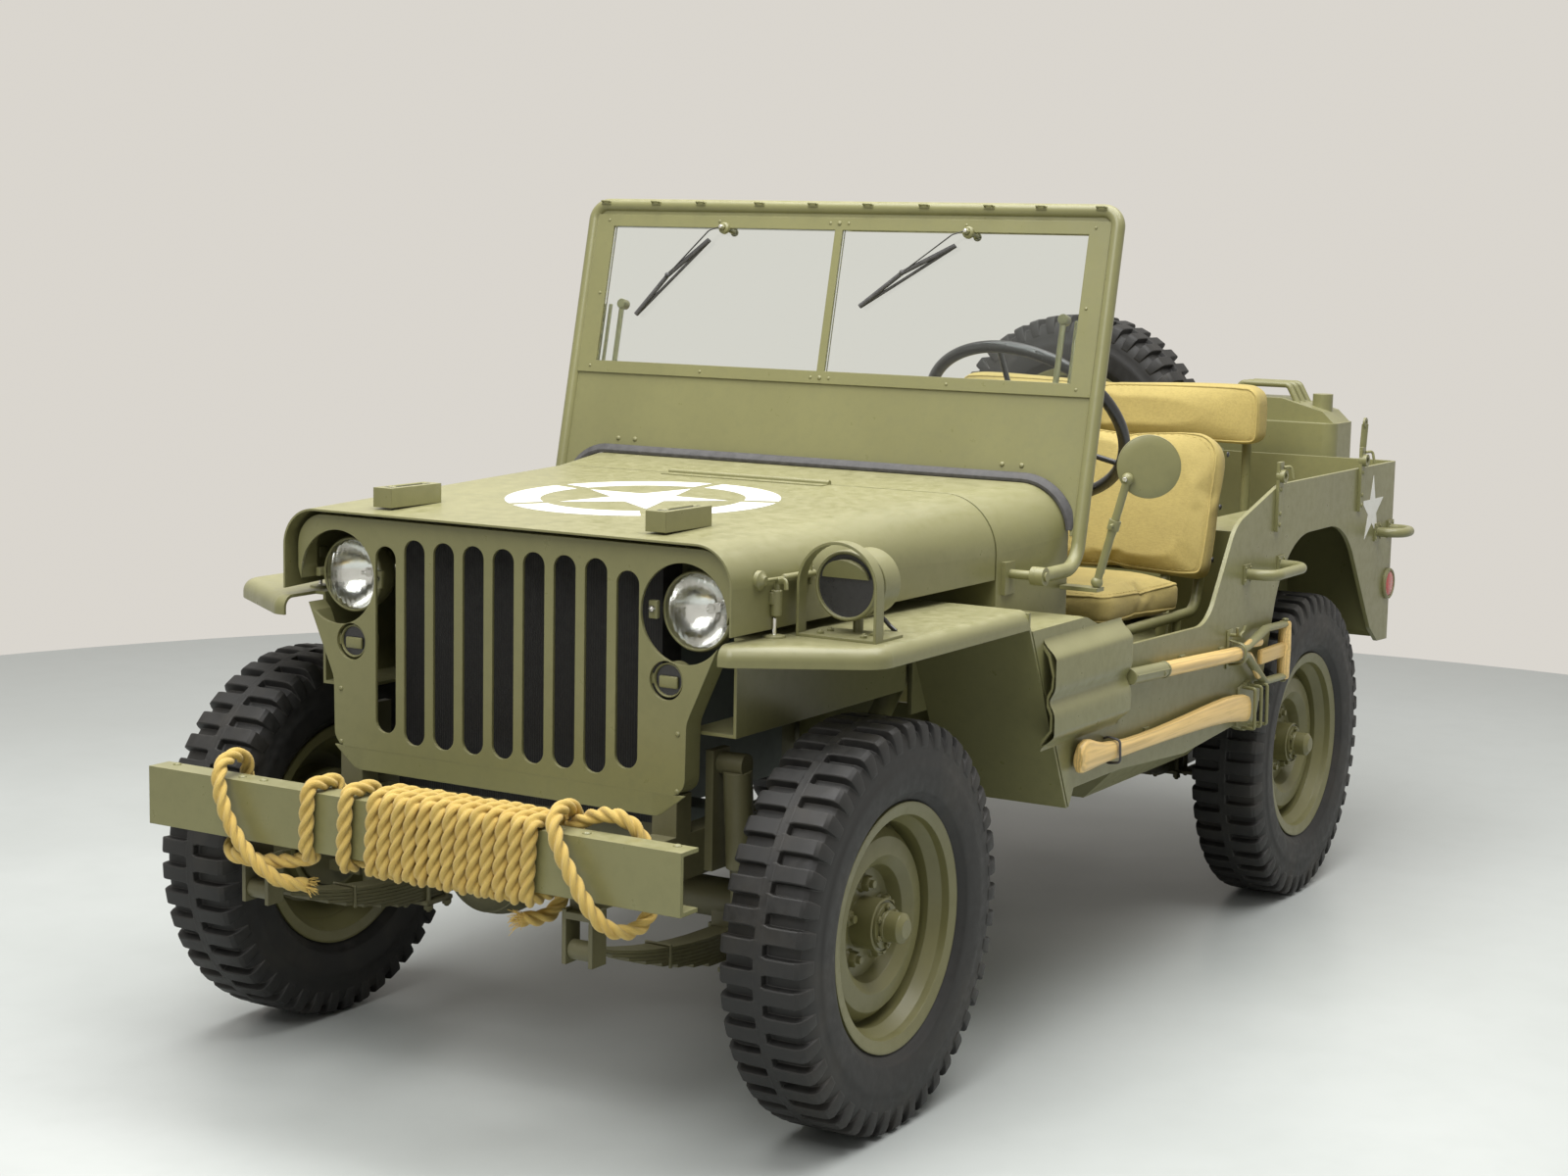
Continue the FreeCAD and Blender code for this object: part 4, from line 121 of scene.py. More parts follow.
class Graph:
    """A material's node tree, with short calls for the nodes used here."""

    def __init__(self, name):
        self.material = bpy.data.materials.new(name)
        self.material.use_nodes = True
        self.tree = self.material.node_tree
        self.shader = self.tree.nodes["Principled BSDF"]
        self.coords = self.new("TexCoord", {}).outputs["Object"]
        self.geometry = self.new("NewGeometry", {}).outputs

    def new(self, kind, inputs, **settings):
        return add_node(self.tree, kind, inputs, **settings)

    def stretch(self, scale, coords=None):
        """Coordinates multiplied per axis."""
        return self.new("Mapping", {"Vector": coords or self.coords,
                                    "Scale": scale}).outputs["Vector"]

    def noise(self, scale, detail=3, rough=0.55, coords=None, distortion=0):
        return self.new("TexNoise", {"Vector": coords or self.coords, "Scale": scale,
                                     "Detail": detail, "Roughness": rough,
                                     "Distortion": distortion}).outputs["Fac"]

    def wave(self, scale, axis, coords=None, distortion=0, detail=2):
        return self.new("TexWave", {"Vector": coords or self.coords, "Scale": scale,
                                    "Distortion": distortion, "Detail": detail},
                        bands_direction=axis).outputs["Fac"]

    def spread(self, value, low, high, to_low=0.0, to_high=1.0):
        """A value mapped from one span to another, held at the ends."""
        return self.new("MapRange", {"Value": value, "From Min": low, "From Max": high,
                                     "To Min": to_low, "To Max": to_high}).outputs["Result"]

    def vary(self, value, to_low=0.0, to_high=1.0):
        """A pattern's middle span mapped to another."""
        return self.spread(value, 0.3, 0.7, to_low, to_high)

    def math(self, kind, first, second):
        return self.new("Math", {0: first, 1: second}, operation=kind).outputs[0]

    def mix(self, share, first, second):
        return self.new("Mix", {0: share, 6: first, 7: second}, data_type="RGBA").outputs[2]

    def patch(self, base, value, low, high, most, colour):
        """A colour laid over the base as a pattern's value goes from low to high."""
        return self.mix(self.spread(value, low, high, 0, most), base, colour)

    def bump(self, height, distance, strength=1.0, normal=None):
        under = {"Normal": normal} if normal else {}
        return self.new("Bump", {"Strength": strength, "Distance": distance, "Height": height,
                                 **under}).outputs["Normal"]

    def edges(self, radius):
        """The normal rounded over nearby edges, and how close an outer edge is, from 0 to 1."""
        rounded = self.new("Bevel", {"Radius": radius}, samples=4).outputs[0]
        dot = self.new("VectorMath", {0: rounded, 1: self.geometry["Normal"]},
                       operation="DOT_PRODUCT")
        return rounded, self.spread(dot.outputs["Value"], 0.985, 0.8)

    def finish(self, colour, rough, normal=None, **more):
        """The finished material. Spaces in the shader's socket names are written as _."""
        inputs = {"Base_Color": colour, "Roughness": rough, "Coat_Roughness": 0.25, **more}
        if normal:
            inputs["Normal"] = normal
        for key, source in inputs.items():
            join(self.tree, source, self.shader.inputs[key.replace("_", " ")])
        return self.material


def tint(colour, factor):
    return tuple(min(1.0, c * factor) for c in colour)


PAINT_DUST = (0.50, 0.465, 0.29)


def paint(name, colour, rough=0.33, dust=0.3, wear=0.35):
    """Brushed and sprayed metal paint: mottled, faintly rippled, dusty on top, rubbed at edges."""
    g = Graph(name)
    broad = g.noise(1.7, 4)
    fine = g.noise(38, 4, 0.65)
    grain = g.noise(900, 2)
    base = g.mix(g.vary(broad), tint(colour, 0.88), tint(colour, 1.12))
    base = g.patch(base, fine, 0.45, 0.75, 0.3, tint(colour, 0.72))
    upward = g.new("SeparateXYZ", {0: g.geometry["Normal"]}).outputs["Z"]
    settled = g.math("MULTIPLY", g.spread(upward, 0.2, 1.0), g.spread(fine, 0.35, 0.7, 0.35, 1.0))
    base = g.mix(g.math("MULTIPLY", settled, dust), base, PAINT_DUST)
    rounded, edge = g.edges(0.0022)
    rubbed = g.math("MULTIPLY", edge, g.spread(g.noise(75, 4), 0.5, 0.62, 0, wear))
    base = g.mix(rubbed, base, tint(colour, 1.7))
    roughness = g.math("ADD", g.vary(fine, rough - 0.06, rough + 0.07),
                       g.math("MULTIPLY", settled, dust * 0.4))
    ripple = g.bump(g.noise(210, 2), 0.0004, 0.12, rounded)
    return g.finish(base, roughness, g.bump(grain, 0.0001, 0.15, ripple))


def rubber(name, colour):
    """Matt black rubber with dry dust in patches and scuffed edges."""
    g = Graph(name)
    fine = g.noise(55, 4, 0.6)
    patches = g.noise(9, 5)
    base = g.mix(g.spread(fine, 0.35, 0.7), tint(colour, 0.75), tint(colour, 1.35))
    base = g.patch(base, patches, 0.5, 0.75, 0.2, (0.085, 0.072, 0.052))
    rounded, edge = g.edges(0.0025)
    base = g.mix(g.math("MULTIPLY", edge, 0.35), base, (0.085, 0.08, 0.07))
    return g.finish(base, g.vary(fine, 0.48, 0.68),
                    g.bump(g.noise(420, 3), 0.0003, 0.25, rounded), Specular_IOR_Level=0.4)


def canvas(name, colour):
    """Khaki duck: a plain weave, faint creases and broad fading."""
    g = Graph(name)
    warp = g.noise(1, 2, coords=g.stretch((1500, 90, 240)))
    weft = g.noise(1, 2, coords=g.stretch((90, 1500, 1500)))
    weave = g.math("ADD", warp, weft)
    broad = g.noise(4.5, 5, 0.6)
    slub = g.noise(1, 3, coords=g.stretch((14, 190, 190)))
    base = g.mix(g.vary(broad), tint(colour, 0.86), tint(colour, 1.12))
    base = g.patch(base, slub, 0.5, 0.75, 0.25, tint(colour, 0.62))
    base = g.mix(g.spread(weave, 0.75, 1.15, 0.3, 0), base, tint(colour, 0.5))
    crease = g.bump(g.noise(11, 4, 0.5, distortion=0.6), 0.006, 0.35)
    return g.finish(base, g.vary(broad, 0.78, 0.9), g.bump(weave, 0.0004, 0.5, crease),
                    Sheen_Weight=0.06, Specular_IOR_Level=0.25)


def rope_fibre(name, colour):
    """Manila strands: fibres run along the strand, which the mesh's own UV follows."""
    g = Graph(name)
    uv = g.new("UVMap", {}, uv_map="Strand").outputs[0]
    fibre = g.noise(1, 4, 0.7, g.stretch((3.0, 260, 1), uv))
    clump = g.noise(24, 4)
    base = g.mix(g.vary(fibre), tint(colour, 0.58), tint(colour, 1.35))
    base = g.patch(base, clump, 0.45, 0.7, 0.4, (0.50, 0.31, 0.06))
    return g.finish(base, g.vary(fibre, 0.72, 0.88), g.bump(fibre, 0.0012, 0.7),
                    Sheen_Weight=0.2, Specular_IOR_Level=0.3)


def wood(name, colour):
    """Clear-finished ash, its grain along the shafts."""
    g = Graph(name)
    stretched = g.stretch((2.2, 60, 60))
    rings = g.wave(0.9, "Y", stretched, distortion=5.5, detail=3)
    pore = g.noise(3.2, 4, 0.7, stretched)
    base = g.mix(rings, tint(colour, 0.82), tint(colour, 1.1))
    base = g.patch(base, pore, 0.52, 0.75, 0.5, tint(colour, 0.55))
    return g.finish(base, g.vary(pore, 0.36, 0.5), g.bump(pore, 0.0004, 0.3),
                    Coat_Weight=0.2)


def metal(name, colour, rough, tarnish=(0.12, 0.10, 0.08)):
    g = Graph(name)
    fine = g.noise(60, 4, 0.65)
    base = g.mix(g.spread(fine, 0.45, 0.8, 0, 0.5), colour, tarnish)
    rounded, _ = g.edges(0.001)
    return g.finish(base, g.vary(fine, rough - 0.08, rough + 0.12),
                    g.bump(g.noise(350, 2), 0.0002, 0.2, rounded), Metallic=1.0)


def plastic(name, colour):
    g = Graph(name)
    fine = g.noise(90, 4, 0.6)
    base = g.mix(g.spread(fine, 0.35, 0.7), tint(colour, 0.85), tint(colour, 1.2))
    rounded, _ = g.edges(0.0015)
    return g.finish(base, g.vary(fine, 0.25, 0.4),
                    g.bump(g.noise(500, 2), 0.0001, 0.2, rounded), Coat_Weight=0.3)


def stencil_white(name):
    """Flat white marking paint, thin and slightly chalky."""
    g = Graph(name)
    fine = g.noise(50, 5, 0.7)
    base = g.mix(g.spread(fine, 0.4, 0.8, 0, 0.35), (0.80, 0.79, 0.74), (0.62, 0.60, 0.50))
    return g.finish(base, g.vary(fine, 0.5, 0.65), g.bump(fine, 0.0002, 0.2))


def glass(name):
    """Clear pane with faint smears."""
    g = Graph(name)
    smear = g.noise(7, 5, 0.7)
    return g.finish((0.93, 0.97, 0.95), g.spread(smear, 0.45, 0.9, 0, 0.05),
                    Transmission_Weight=1.0, IOR=1.45)


def lens(name):
    """Pressed lamp glass, fluted upright and a little cloudy."""
    g = Graph(name)
    flute = g.wave(26, "Y")
    return g.finish((0.97, 0.98, 0.97), g.vary(g.noise(60, 2), 0.0, 0.06),
                    g.bump(flute, 0.0015, 0.3), Transmission_Weight=1.0, IOR=1.3)


def reflector_red(name):
    """Red reflex glass with small prisms."""
    g = Graph(name)
    cells = g.new("TexVoronoi", {"Scale": 260, "Vector": g.coords}).outputs["Distance"]
    base = g.mix(cells, (0.62, 0.03, 0.02), (0.36, 0.008, 0.006))
    return g.finish(base, g.vary(g.noise(40, 3), 0.08, 0.2),
                    g.bump(cells, 0.001, 0.6), Coat_Weight=0.6)


def core_mesh(name):
    """The radiator's black core: close fins between flat tubes, with painted shade in the gaps
    between them.
    """
    g = Graph(name)
    tubes = g.wave(62, "Y")
    fins = g.wave(210, "Z")
    # near-black stripes between the tubes and fins are painted shade in the gaps; the lighter
    # stripes are the tubes' and fins' own black faces
    fin_gap_shade = g.math("MULTIPLY", g.spread(tubes, 0.4, 0.6), g.vary(fins))
    base = g.mix(fin_gap_shade, (0.004, 0.004, 0.004), (0.035, 0.034, 0.03))
    return g.finish(base, g.vary(g.noise(50, 3), 0.55, 0.75),
                    g.bump(fin_gap_shade, 0.004, 0.8))


# ---------------------------------------------------------------- mesh helpers


def across(direction):
    """A direction's unit vector, and two more square to it and to each other."""
    way = Vector(direction).normalized()
    first = UP.cross(way)
    if first.length < 1e-4:
        first = LEFT.copy()
    first.normalize()
    return way, first, way.cross(first)


def circle(radius, start=0.0, sweep=360.0, steps=36, whole=False):
    """Points of an arc in its own plane, in degrees. A whole circle leaves out its last point."""
    turns = (radians(start + sweep * k / steps) for k in range(steps if whole else steps + 1))
    return [(radius * cos(a), radius * sin(a)) for a in turns]


class Piece:
    """One mesh object built up from small solids, in the row frame.

    Places and directions are vectors in metres. Profiles, radii and sizes are in millimetres,
    and a slot is the index of a material.
    """

    def __init__(self, name, body, *materials):
        self.name, self.body = name, body
        self.materials = materials
        self.mesh = bmesh.new()

    def ring(self, places):
        return [self.mesh.verts.new(place) for place in places]

    def faces_to(self, faces, slot):
        for face in faces:
            face.material_index = slot
            face.smooth = True

    def skin(self, rings, slot=0, wrap=True, loop=False, ends=()):
        """Faces between rings of verts: around each ring, from last to first, and across ends."""
        pairs = list(zip(rings, rings[1:])) + ([(rings[-1], rings[0])] if loop else [])
        sides = len(rings[0])
        faces = [self.mesh.faces.new(end) for end in ends]
        for low, high in pairs:
            for k in range(sides if wrap else sides - 1):
                after = (k + 1) % sides
                corners = dict.fromkeys((low[k], low[after], high[after], high[k]))
                if len(corners) > 2:
                    faces.append(self.mesh.faces.new(list(corners)))
        self.faces_to(faces, slot)

    def bar(self, rings, slot=0):
        """A solid through closed rings, with both ends covered."""
        self.skin(rings, slot, ends=(rings[0][::-1], rings[-1]))

    def block(self, low, high, slot=0, bevel=0.0015):
        """A box between two corners, its edges eased by bevel metres."""
        low = Vector(low)
        size, middle = Vector(high) - low, (low + Vector(high)) / 2
        verts = bmesh.ops.create_cube(self.mesh, size=1)["verts"]
        for v in verts:
            v.co = Vector((v.co[k] * size[k] for k in range(3)))
        faces = {f for v in verts for f in v.link_faces}
        edges = list({e for v in verts for e in v.link_edges})
        bevelled = bmesh.ops.bevel(self.mesh, geom=edges, offset=min(bevel, min(size) * 0.45),
                                   segments=2, affect="EDGES", profile=0.5)
        verts = {v for f in faces if f.is_valid for v in f.verts} | set(bevelled["verts"])
        for v in verts:
            v.co += middle
        self.faces_to({f for v in verts for f in v.link_faces}, slot)

    def block_on(self, way, low, high, slot=0, bevel=0.0015):
        """A box between two places of the left side, mirrored to the right where way is -1."""
        near, far = sorted((low[1] * way, high[1] * way))
        self.block(at(low[0], near, low[2]), at(high[0], far, high[2]), slot, bevel)

    def lathe(self, profile, centre, direction, slot=0, sides=40, loop=False):
        """Turns (along, radius) pairs about a line through centre."""
        way, first, second = across(direction)
        centre = Vector(centre)
        rings = []
        for along, radius in profile:
            middle = centre + way * (along / 1000)
            if radius < 0.01:
                rings.append([self.mesh.verts.new(middle)] * sides)
                continue
            rings.append(self.ring(middle + first * u + second * v
                                   for u, v in circle(radius / 1000, steps=sides, whole=True)))
        self.skin(rings, slot, loop=loop)

    def rod(self, start, end, radius, slot=0, sides=20, chamfer=0.8):
        """A round bar between two points with its rims eased."""
        start, end = Vector(start), Vector(end)
        length = (end - start).length * 1000
        edge = min(chamfer, radius * 0.4, length * 0.3)
        self.lathe([(0, 0), (0, radius - edge), (edge, radius), (length - edge, radius),
                    (length, radius - edge), (length, 0)], start, end - start, slot, sides)

    def nut(self, centre, direction, flats, height, slot=0, bolt=0.0, proud=3.0):
        """A hexagon head with a chamfered crown, and a round end standing out of it."""
        corner = flats / 2 / cos(pi / 6)
        self.lathe([(0, 0), (0, corner), (height * 0.78, corner), (height, corner * 0.84),
                    (height, 0)], centre, direction, slot, 6)
        if bolt:
            way = Vector(direction).normalized()
            top = Vector(centre) + way * (height / 1000)
            self.rod(top - way * 0.001, top + way * (proud / 1000), bolt / 2, slot, 12, 0.6)

    def dome(self, centre, direction, radius, height, slot=0):
        """A rivet or button head."""
        crown = [(height * sin(pi / 8 * k), radius * cos(pi / 8 * k)) for k in range(4)]
        self.lathe([(-0.5, 0), (-0.5, radius), *crown, (height, 0)], centre, direction, slot, 14)

    def tube(self, points, radius, slot=0, sides=12, closed=False, flat=1.0):
        """A round or flattened bar through close points."""
        points = [Vector(p) for p in points]
        count = len(points)
        rings = []
        side = None
        for i, here in enumerate(points):
            after = points[(i + 1) % count] if closed or i < count - 1 else here
            before = points[i - 1] if closed or i > 0 else here
            way = (after - before).normalized()
            side = across(way)[1] if side is None else side
            side = (side - way * side.dot(way)).normalized()
            other = way.cross(side) * flat
            rings.append(self.ring(here + side * u + other * v
                                   for u, v in circle(radius / 1000, steps=sides, whole=True)))
        self.skin(rings, slot, loop=closed, ends=() if closed else (rings[0][::-1], rings[-1]))

    def wire(self, places, bend, radius, slot=0, sides=8, flat=1.0):
        """A bar through places on the car, its corners rounded to the bend radius."""
        self.tube(bent([at(*place) for place in places], bend), radius, slot, sides, flat=flat)

    def plate(self, outline, thick, bevel=0.001):
        """A flat sheet of a closed outline of points, thickened along its normal by metres."""
        verts = self.ring(outline)
        face = self.mesh.faces.new(verts)
        face.normal_update()
        made = bmesh.ops.extrude_face_region(self.mesh, geom=[face])
        moved = [e for e in made["geom"] if isinstance(e, bmesh.types.BMVert)]
        for v in moved:
            v.co += face.normal * thick
        faces = {f for v in verts + moved for f in v.link_faces}
        made = bmesh.ops.bevel(self.mesh, geom=list({e for f in faces for e in f.edges}),
                               offset=bevel, segments=1, affect="EDGES", profile=0.5)
        self.faces_to({f for f in faces if f.is_valid} | set(made["faces"]), 0)

    def move(self, place):
        for v in self.mesh.verts:
            v.co = place @ v.co

    def done(self, replaces=(), crease=35):
        """The finished object, riding on its body, with its materials."""
        bmesh.ops.recalc_face_normals(self.mesh, faces=self.mesh.faces)
        for edge in self.mesh.edges:
            if len(edge.link_faces) == 2 and edge.calc_face_angle(0) > radians(crease):
                edge.smooth = False
        data = bpy.data.meshes.new(self.name)
        self.mesh.to_mesh(data)
        self.mesh.free()
        for material in self.materials:
            data.materials.append(material)
        made = new_object(self.name, data)
        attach(made, self.body)
        if replaces:
            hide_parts(*replaces)
        return made


def bent(points, radius, steps=8):
    """Straight runs with their corners rounded to one radius, as close points."""
    points = [Vector(p) for p in points]
    path = [points[0]]
    for before, here, after in zip(points, points[1:], points[2:]):
        into, out = (here - before).normalized(), (after - here).normalized()
        turn = acos(max(-1.0, min(1.0, into.dot(out))))
        trim = min(radius / 1000 * tan(turn / 2), (here - before).length * 0.48,
                   (after - here).length * 0.48)
        first, last = here - into * trim, here + out * trim
        for k in range(steps + 1):
            t = k / steps
            path.append(first * (1 - t) ** 2 + here * 2 * t * (1 - t) + last * t * t)
    path.append(points[-1])
    return path


# ---------------------------------------------------------------- rope

ROPE_RADIUS = 14.0
LAY_LENGTH, STRANDS, STRAND_SHARE = 90.0, 3, 0.5
ROPE_STEP, ROPE_SIDES = 0.005, 24
# the two free stretches, as x, y, z from the front axle
ROPE_RIGHT = [(482, -204.5, 457), (490, -240, 447), (498, -288, 440), (502, -338, 437),
              (500, -388, 438), (466, -420, 446), (430, -424, 478), (427, -418, 524),
              (430, -411, 570), (442, -404, 606), (486, -396, 616), (530, -388, 602),
              (540, -376, 556), (539, -356, 508), (537, -324, 466), (530, -284, 430),
              (514, -248, 408), (486, -222, 404)]
ROPE_LEFT = [(447.7, 304.7, 570), (447, 332, 586), (450, 372, 604), (450, 414, 606),
             (438, 446, 580), (432, 462, 530), (432, 468, 478), (446, 466, 438),
             (484, 458, 424), (522, 440, 434), (538, 414, 468), (539, 384, 512),
             (539, 354, 560), (528, 332, 602), (484, 320, 616), (436, 312, 606),
             (410, 302, 566), (406, 290, 510), (412, 278, 456), (434, 272, 422),
             (468, 264, 414), (500, 250, 420)]
# (turns so far, y) around the bumper, and the box that the turns lie around
ROPE_STOPS = [(0.1, -192), (0.62, -182), (0.98, -110), (1.6, -97), (1.99, -50), (14.62, 294)]
TURN_X, TURN_Z = (447.7, 526.3), (458.7, 592.3)
CORNER = 9.0


def turn_points(stops):
    """Control points of turns around the bumper, from its underside up the front and over."""
    back, front = TURN_X
    low, high = TURN_Z
    loop = [((back + front) / 2, low), (front - CORNER, low), (front, low + CORNER),
            (front, (low + high) / 2), (front, high - CORNER), (front - CORNER, high),
            ((back + front) / 2, high), (back + CORNER, high), (back, high - CORNER),
            (back, (low + high) / 2), (back, low + CORNER), (back + CORNER, low)]
    runs = [hypot(b[0] - a[0], b[1] - a[1]) for a, b in zip(loop, loop[1:] + loop[:1])]
    shares = [sum(runs[:k]) / sum(runs) for k in range(len(loop))]
    marks, ys = zip(*stops)
    points = []
    for turn in range(int(marks[-1]) + 1):
        for (x, z), share in zip(loop, shares):
            if marks[0] <= turn + share <= marks[-1]:
                points.append((x, float(np.interp(turn + share, marks, ys)), z))
    return points


def spline_line(name, controls, resolution):
    """The smooth line of a NURBS spline through the control points' span."""
    curve = bpy.data.curves.new(name, "CURVE")
    curve.dimensions = "3D"
    curve.resolution_u = resolution
    spline = curve.splines.new("NURBS")
    spline.points.add(len(controls) - 1)
    for point, place in zip(spline.points, controls):
        point.co = (*at(*place), 1)
    spline.order_u = 3
    spline.use_endpoint_u = True
    holder = new_object(name, curve)
    bpy.context.view_layer.update()
    mesh = bpy.data.meshes.new_from_object(holder)
    line = [v.co.copy() for v in mesh.vertices]
    bpy.data.objects.remove(holder)
    bpy.data.meshes.remove(mesh)
    return line


def even_steps(line, step):
    """The same line, read at even distances along it, and its length."""
    line = np.array([tuple(p) for p in line])
    runs = np.linalg.norm(np.diff(line, axis=0), axis=1)
    gone = np.concatenate([[0], np.cumsum(runs)])
    marks = np.linspace(0, gone[-1], int(ceil(gone[-1] / step)) + 1)
    places = [Vector([float(np.interp(m, gone, line[:, k])) for k in range(3)]) for m in marks]
    return places, gone[-1]


def rope(material):
    """One three-strand rope: a free stretch, two loose turns, the winding and a free stretch."""
    controls = ROPE_RIGHT[::-1] + turn_points(ROPE_STOPS) + ROPE_LEFT
    line, length = even_steps(spline_line("rope_line", controls, 8), ROPE_STEP)
    profile = []
    for k in range(ROPE_SIDES):
        angle = (k / ROPE_SIDES * STRANDS % 1 - 0.5) * 2 * pi / STRANDS
        rise = (1 - STRAND_SHARE) ** 2 - (STRAND_SHARE * sin(angle)) ** 2
        profile.append(STRAND_SHARE * cos(angle) + rise ** 0.5)
    verts, faces, uv = [], [], []
    side = across(line[1] - line[0])[1]
    for i, here in enumerate(line):
        way = (line[min(i + 1, len(line) - 1)] - line[max(i - 1, 0)]).normalized()
        side = (side - way * side.dot(way)).normalized()
        other = way.cross(side)
        twist = 2 * pi * i * length / (len(line) - 1) * 1000 / LAY_LENGTH
        unevenness = 1 - 0.035 * (0.5 + 0.5 * noise.noise(here * 55))
        for k, share in enumerate(profile):
            angle = 2 * pi * k / ROPE_SIDES + twist
            reach = ROPE_RADIUS / 1000 * share * unevenness
            verts.append(here + (side * cos(angle) + other * sin(angle)) * reach)
        if i:
            for k in range(ROPE_SIDES):
                a, after = (i - 1) * ROPE_SIDES, (k + 1) % ROPE_SIDES
                faces.append((a + k, a + after, a + after + ROPE_SIDES, a + k + ROPE_SIDES))
                u0, u1 = (i - 1) * ROPE_STEP, i * ROPE_STEP
                v0, v1 = k / ROPE_SIDES, (k + 1) / ROPE_SIDES
                uv.append(((u0, v0), (u0, v1), (u1, v1), (u1, v0)))
    faces.append(tuple(range(ROPE_SIDES))[::-1])
    faces.append(tuple(range(len(verts) - ROPE_SIDES, len(verts))))
    data = bpy.data.meshes.new("rope")
    data.from_pydata(verts, [], faces)
    layer = data.uv_layers.new(name="Strand")
    for face, corners in zip(data.polygons, uv):
        for loop, place in zip(face.loop_indices, corners):
            layer.data[loop].uv = place
    for face in data.polygons:
        face.use_smooth = True
    data.materials.append(material)
    made = new_object("rope", data)
    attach(made, "chassis")
    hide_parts("rope_coil", "rope_end_left", "rope_end_right")
    frays = rope_frays(material, line)


def rope_frays(material, line):
    """Loose fibres that stand out of the two cut ends."""
    piece = Piece("rope_frays", "chassis", material)
    spin = np.random.default_rng(7)
    for end, inner in ((line[0], line[6]), (line[-1], line[-7])):
        way, first, second = across(end - inner)
        for _ in range(46):
            angle, reach = spin.uniform(0, 2 * pi), spin.uniform(2, 12) / 1000
            out = first * cos(angle) + second * sin(angle)
            root = end - way * 0.004 + out * reach
            spread = out * spin.uniform(-0.002, 0.014)
            length = spin.uniform(0.008, 0.024)
            droop = Vector((0, 0, -spin.uniform(0, 0.006)))
            piece.tube([root, root + way * length * 0.5 + spread * 0.4,
                        root + way * length + spread + droop], spin.uniform(0.4, 0.9), sides=4)
    return piece.done()


# ---------------------------------------------------------------- tyres and wheels

# body, the wheel's centre, the turn that puts its outer side outboard, and how far it has rolled
WHEELS = {"front_left": ("wheel_front_left", (0, TRACK_HALF, AXLE_Z), 0, 3),
          "front_right": ("wheel_front_right", (0, -TRACK_HALF, AXLE_Z), 180, 8),
          "rear_left": ("wheel_rear_left", (-WHEELBASE, TRACK_HALF, AXLE_Z), 0, 21),
          "rear_right": ("wheel_rear_right", (-WHEELBASE, -TRACK_HALF, AXLE_Z), 180, 33),
          "spare": ("chassis", (-2700, -230, 985), 90, 14)}
LUGS = 44
# along the axle, radius at the top and at the root, and half width of a lug's sections
LUG_PATH = ((2, 361.4, 340, 17), (9, 362, 340, 17), (15, 362, 340, 14.6), (38, 362, 339, 14.2),
            (60, 361.6, 337, 14.4), (69, 359.6, 335, 14.4), (75.5, 354, 331, 14),
            (79.5, 343, 326, 13), (81.4, 330, 318, 11.6), (81.8, 317, 308, 10))
LUG_EASE, LUG_SPLAY = 1.8, 1.6
# along the axle and radius, from the bead over the sidewall's bands to the centre rib
TYRE_SIDE = [(57.5, 206), (58.5, 216), (61, 221.5), (66, 226), (72, 233), (74.6, 237),
             (76.4, 238.4), (77.6, 241), (79.2, 250), (81, 264), (82.2, 279), (82.4, 290),
             (81.4, 292), (81.6, 306), (80, 318), (76.5, 331), (71, 341), (60, 345.6),
             (13, 346.5), (10.5, 348.5), (8.5, 360.6), (7, 361.6)]


def seated(centre, turn, spin=0.0):
    """From a wheel's own frame, outboard along +Y, to its place on the car."""
    return (Matrix.Translation(at(*centre)) @ Matrix.Rotation(radians(turn), 4, "Z")
            @ Matrix.Rotation(radians(spin), 4, "Y"))


def bar_lug(piece, turn, way, wide):
    """One lug from the centre rib over the shoulder and down the side, as a run of sections."""
    sections = []
    for along, top, low, half in LUG_PATH:
        half *= wide
        shoulder = min(max(along - 62, 0) / 20, 1)
        foot, side = along - 7 * shoulder, along - 0.6 * shoulder
        edge = top - LUG_EASE * (1 - shoulder)
        ring = ((-half - LUG_SPLAY, foot, low), (-half, side, edge), (-half + LUG_EASE, along, top),
                (half - LUG_EASE, along, top), (half, side, edge), (half + LUG_SPLAY, foot, low))
        sections.append(piece.ring(
            (r * cos(turn + t / r) / 1000, y * way / 1000, r * sin(turn + t / r) / 1000)
            for t, y, r in ring))
    piece.skin(sections, wrap=False, ends=(sections[-1],))


def tyres(material):
    """Bar-lug tyres: smooth sides with low raised bands, two rows of lugs off a centre rib."""
    piece = Piece("tyre", "chassis", material)
    profile = TYRE_SIDE + [(-y, r) for y, r in TYRE_SIDE[::-1]]
    piece.lathe(profile, (0, 0, 0), LEFT, 0, 3 * LUGS, loop=True)
    spin = np.random.default_rng(11)
    for way, offset in ((1, 0.5), (-1, 0)):
        for k in range(LUGS):
            bar_lug(piece, 2 * pi / LUGS * (k + offset), way, spin.uniform(0.97, 1.03))
    master = piece.done(crease=28)
    for name, (body, centre, turn, rolled) in WHEELS.items():
        node = "spare_tyre" if name == "spare" else f"tyre_{name}"
        data = master.data.copy()
        data.transform(seated(centre, turn, rolled))
        made = new_object(f"{node}_lugged", data)
        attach(made, body)
        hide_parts(node)
    bpy.data.objects.remove(master)


STUDS, STUD_RADIUS, HUB_BOLTS, HUB_BOLT_RADIUS, VALVE_TURN = 5, 69.85, 6, 34, 18


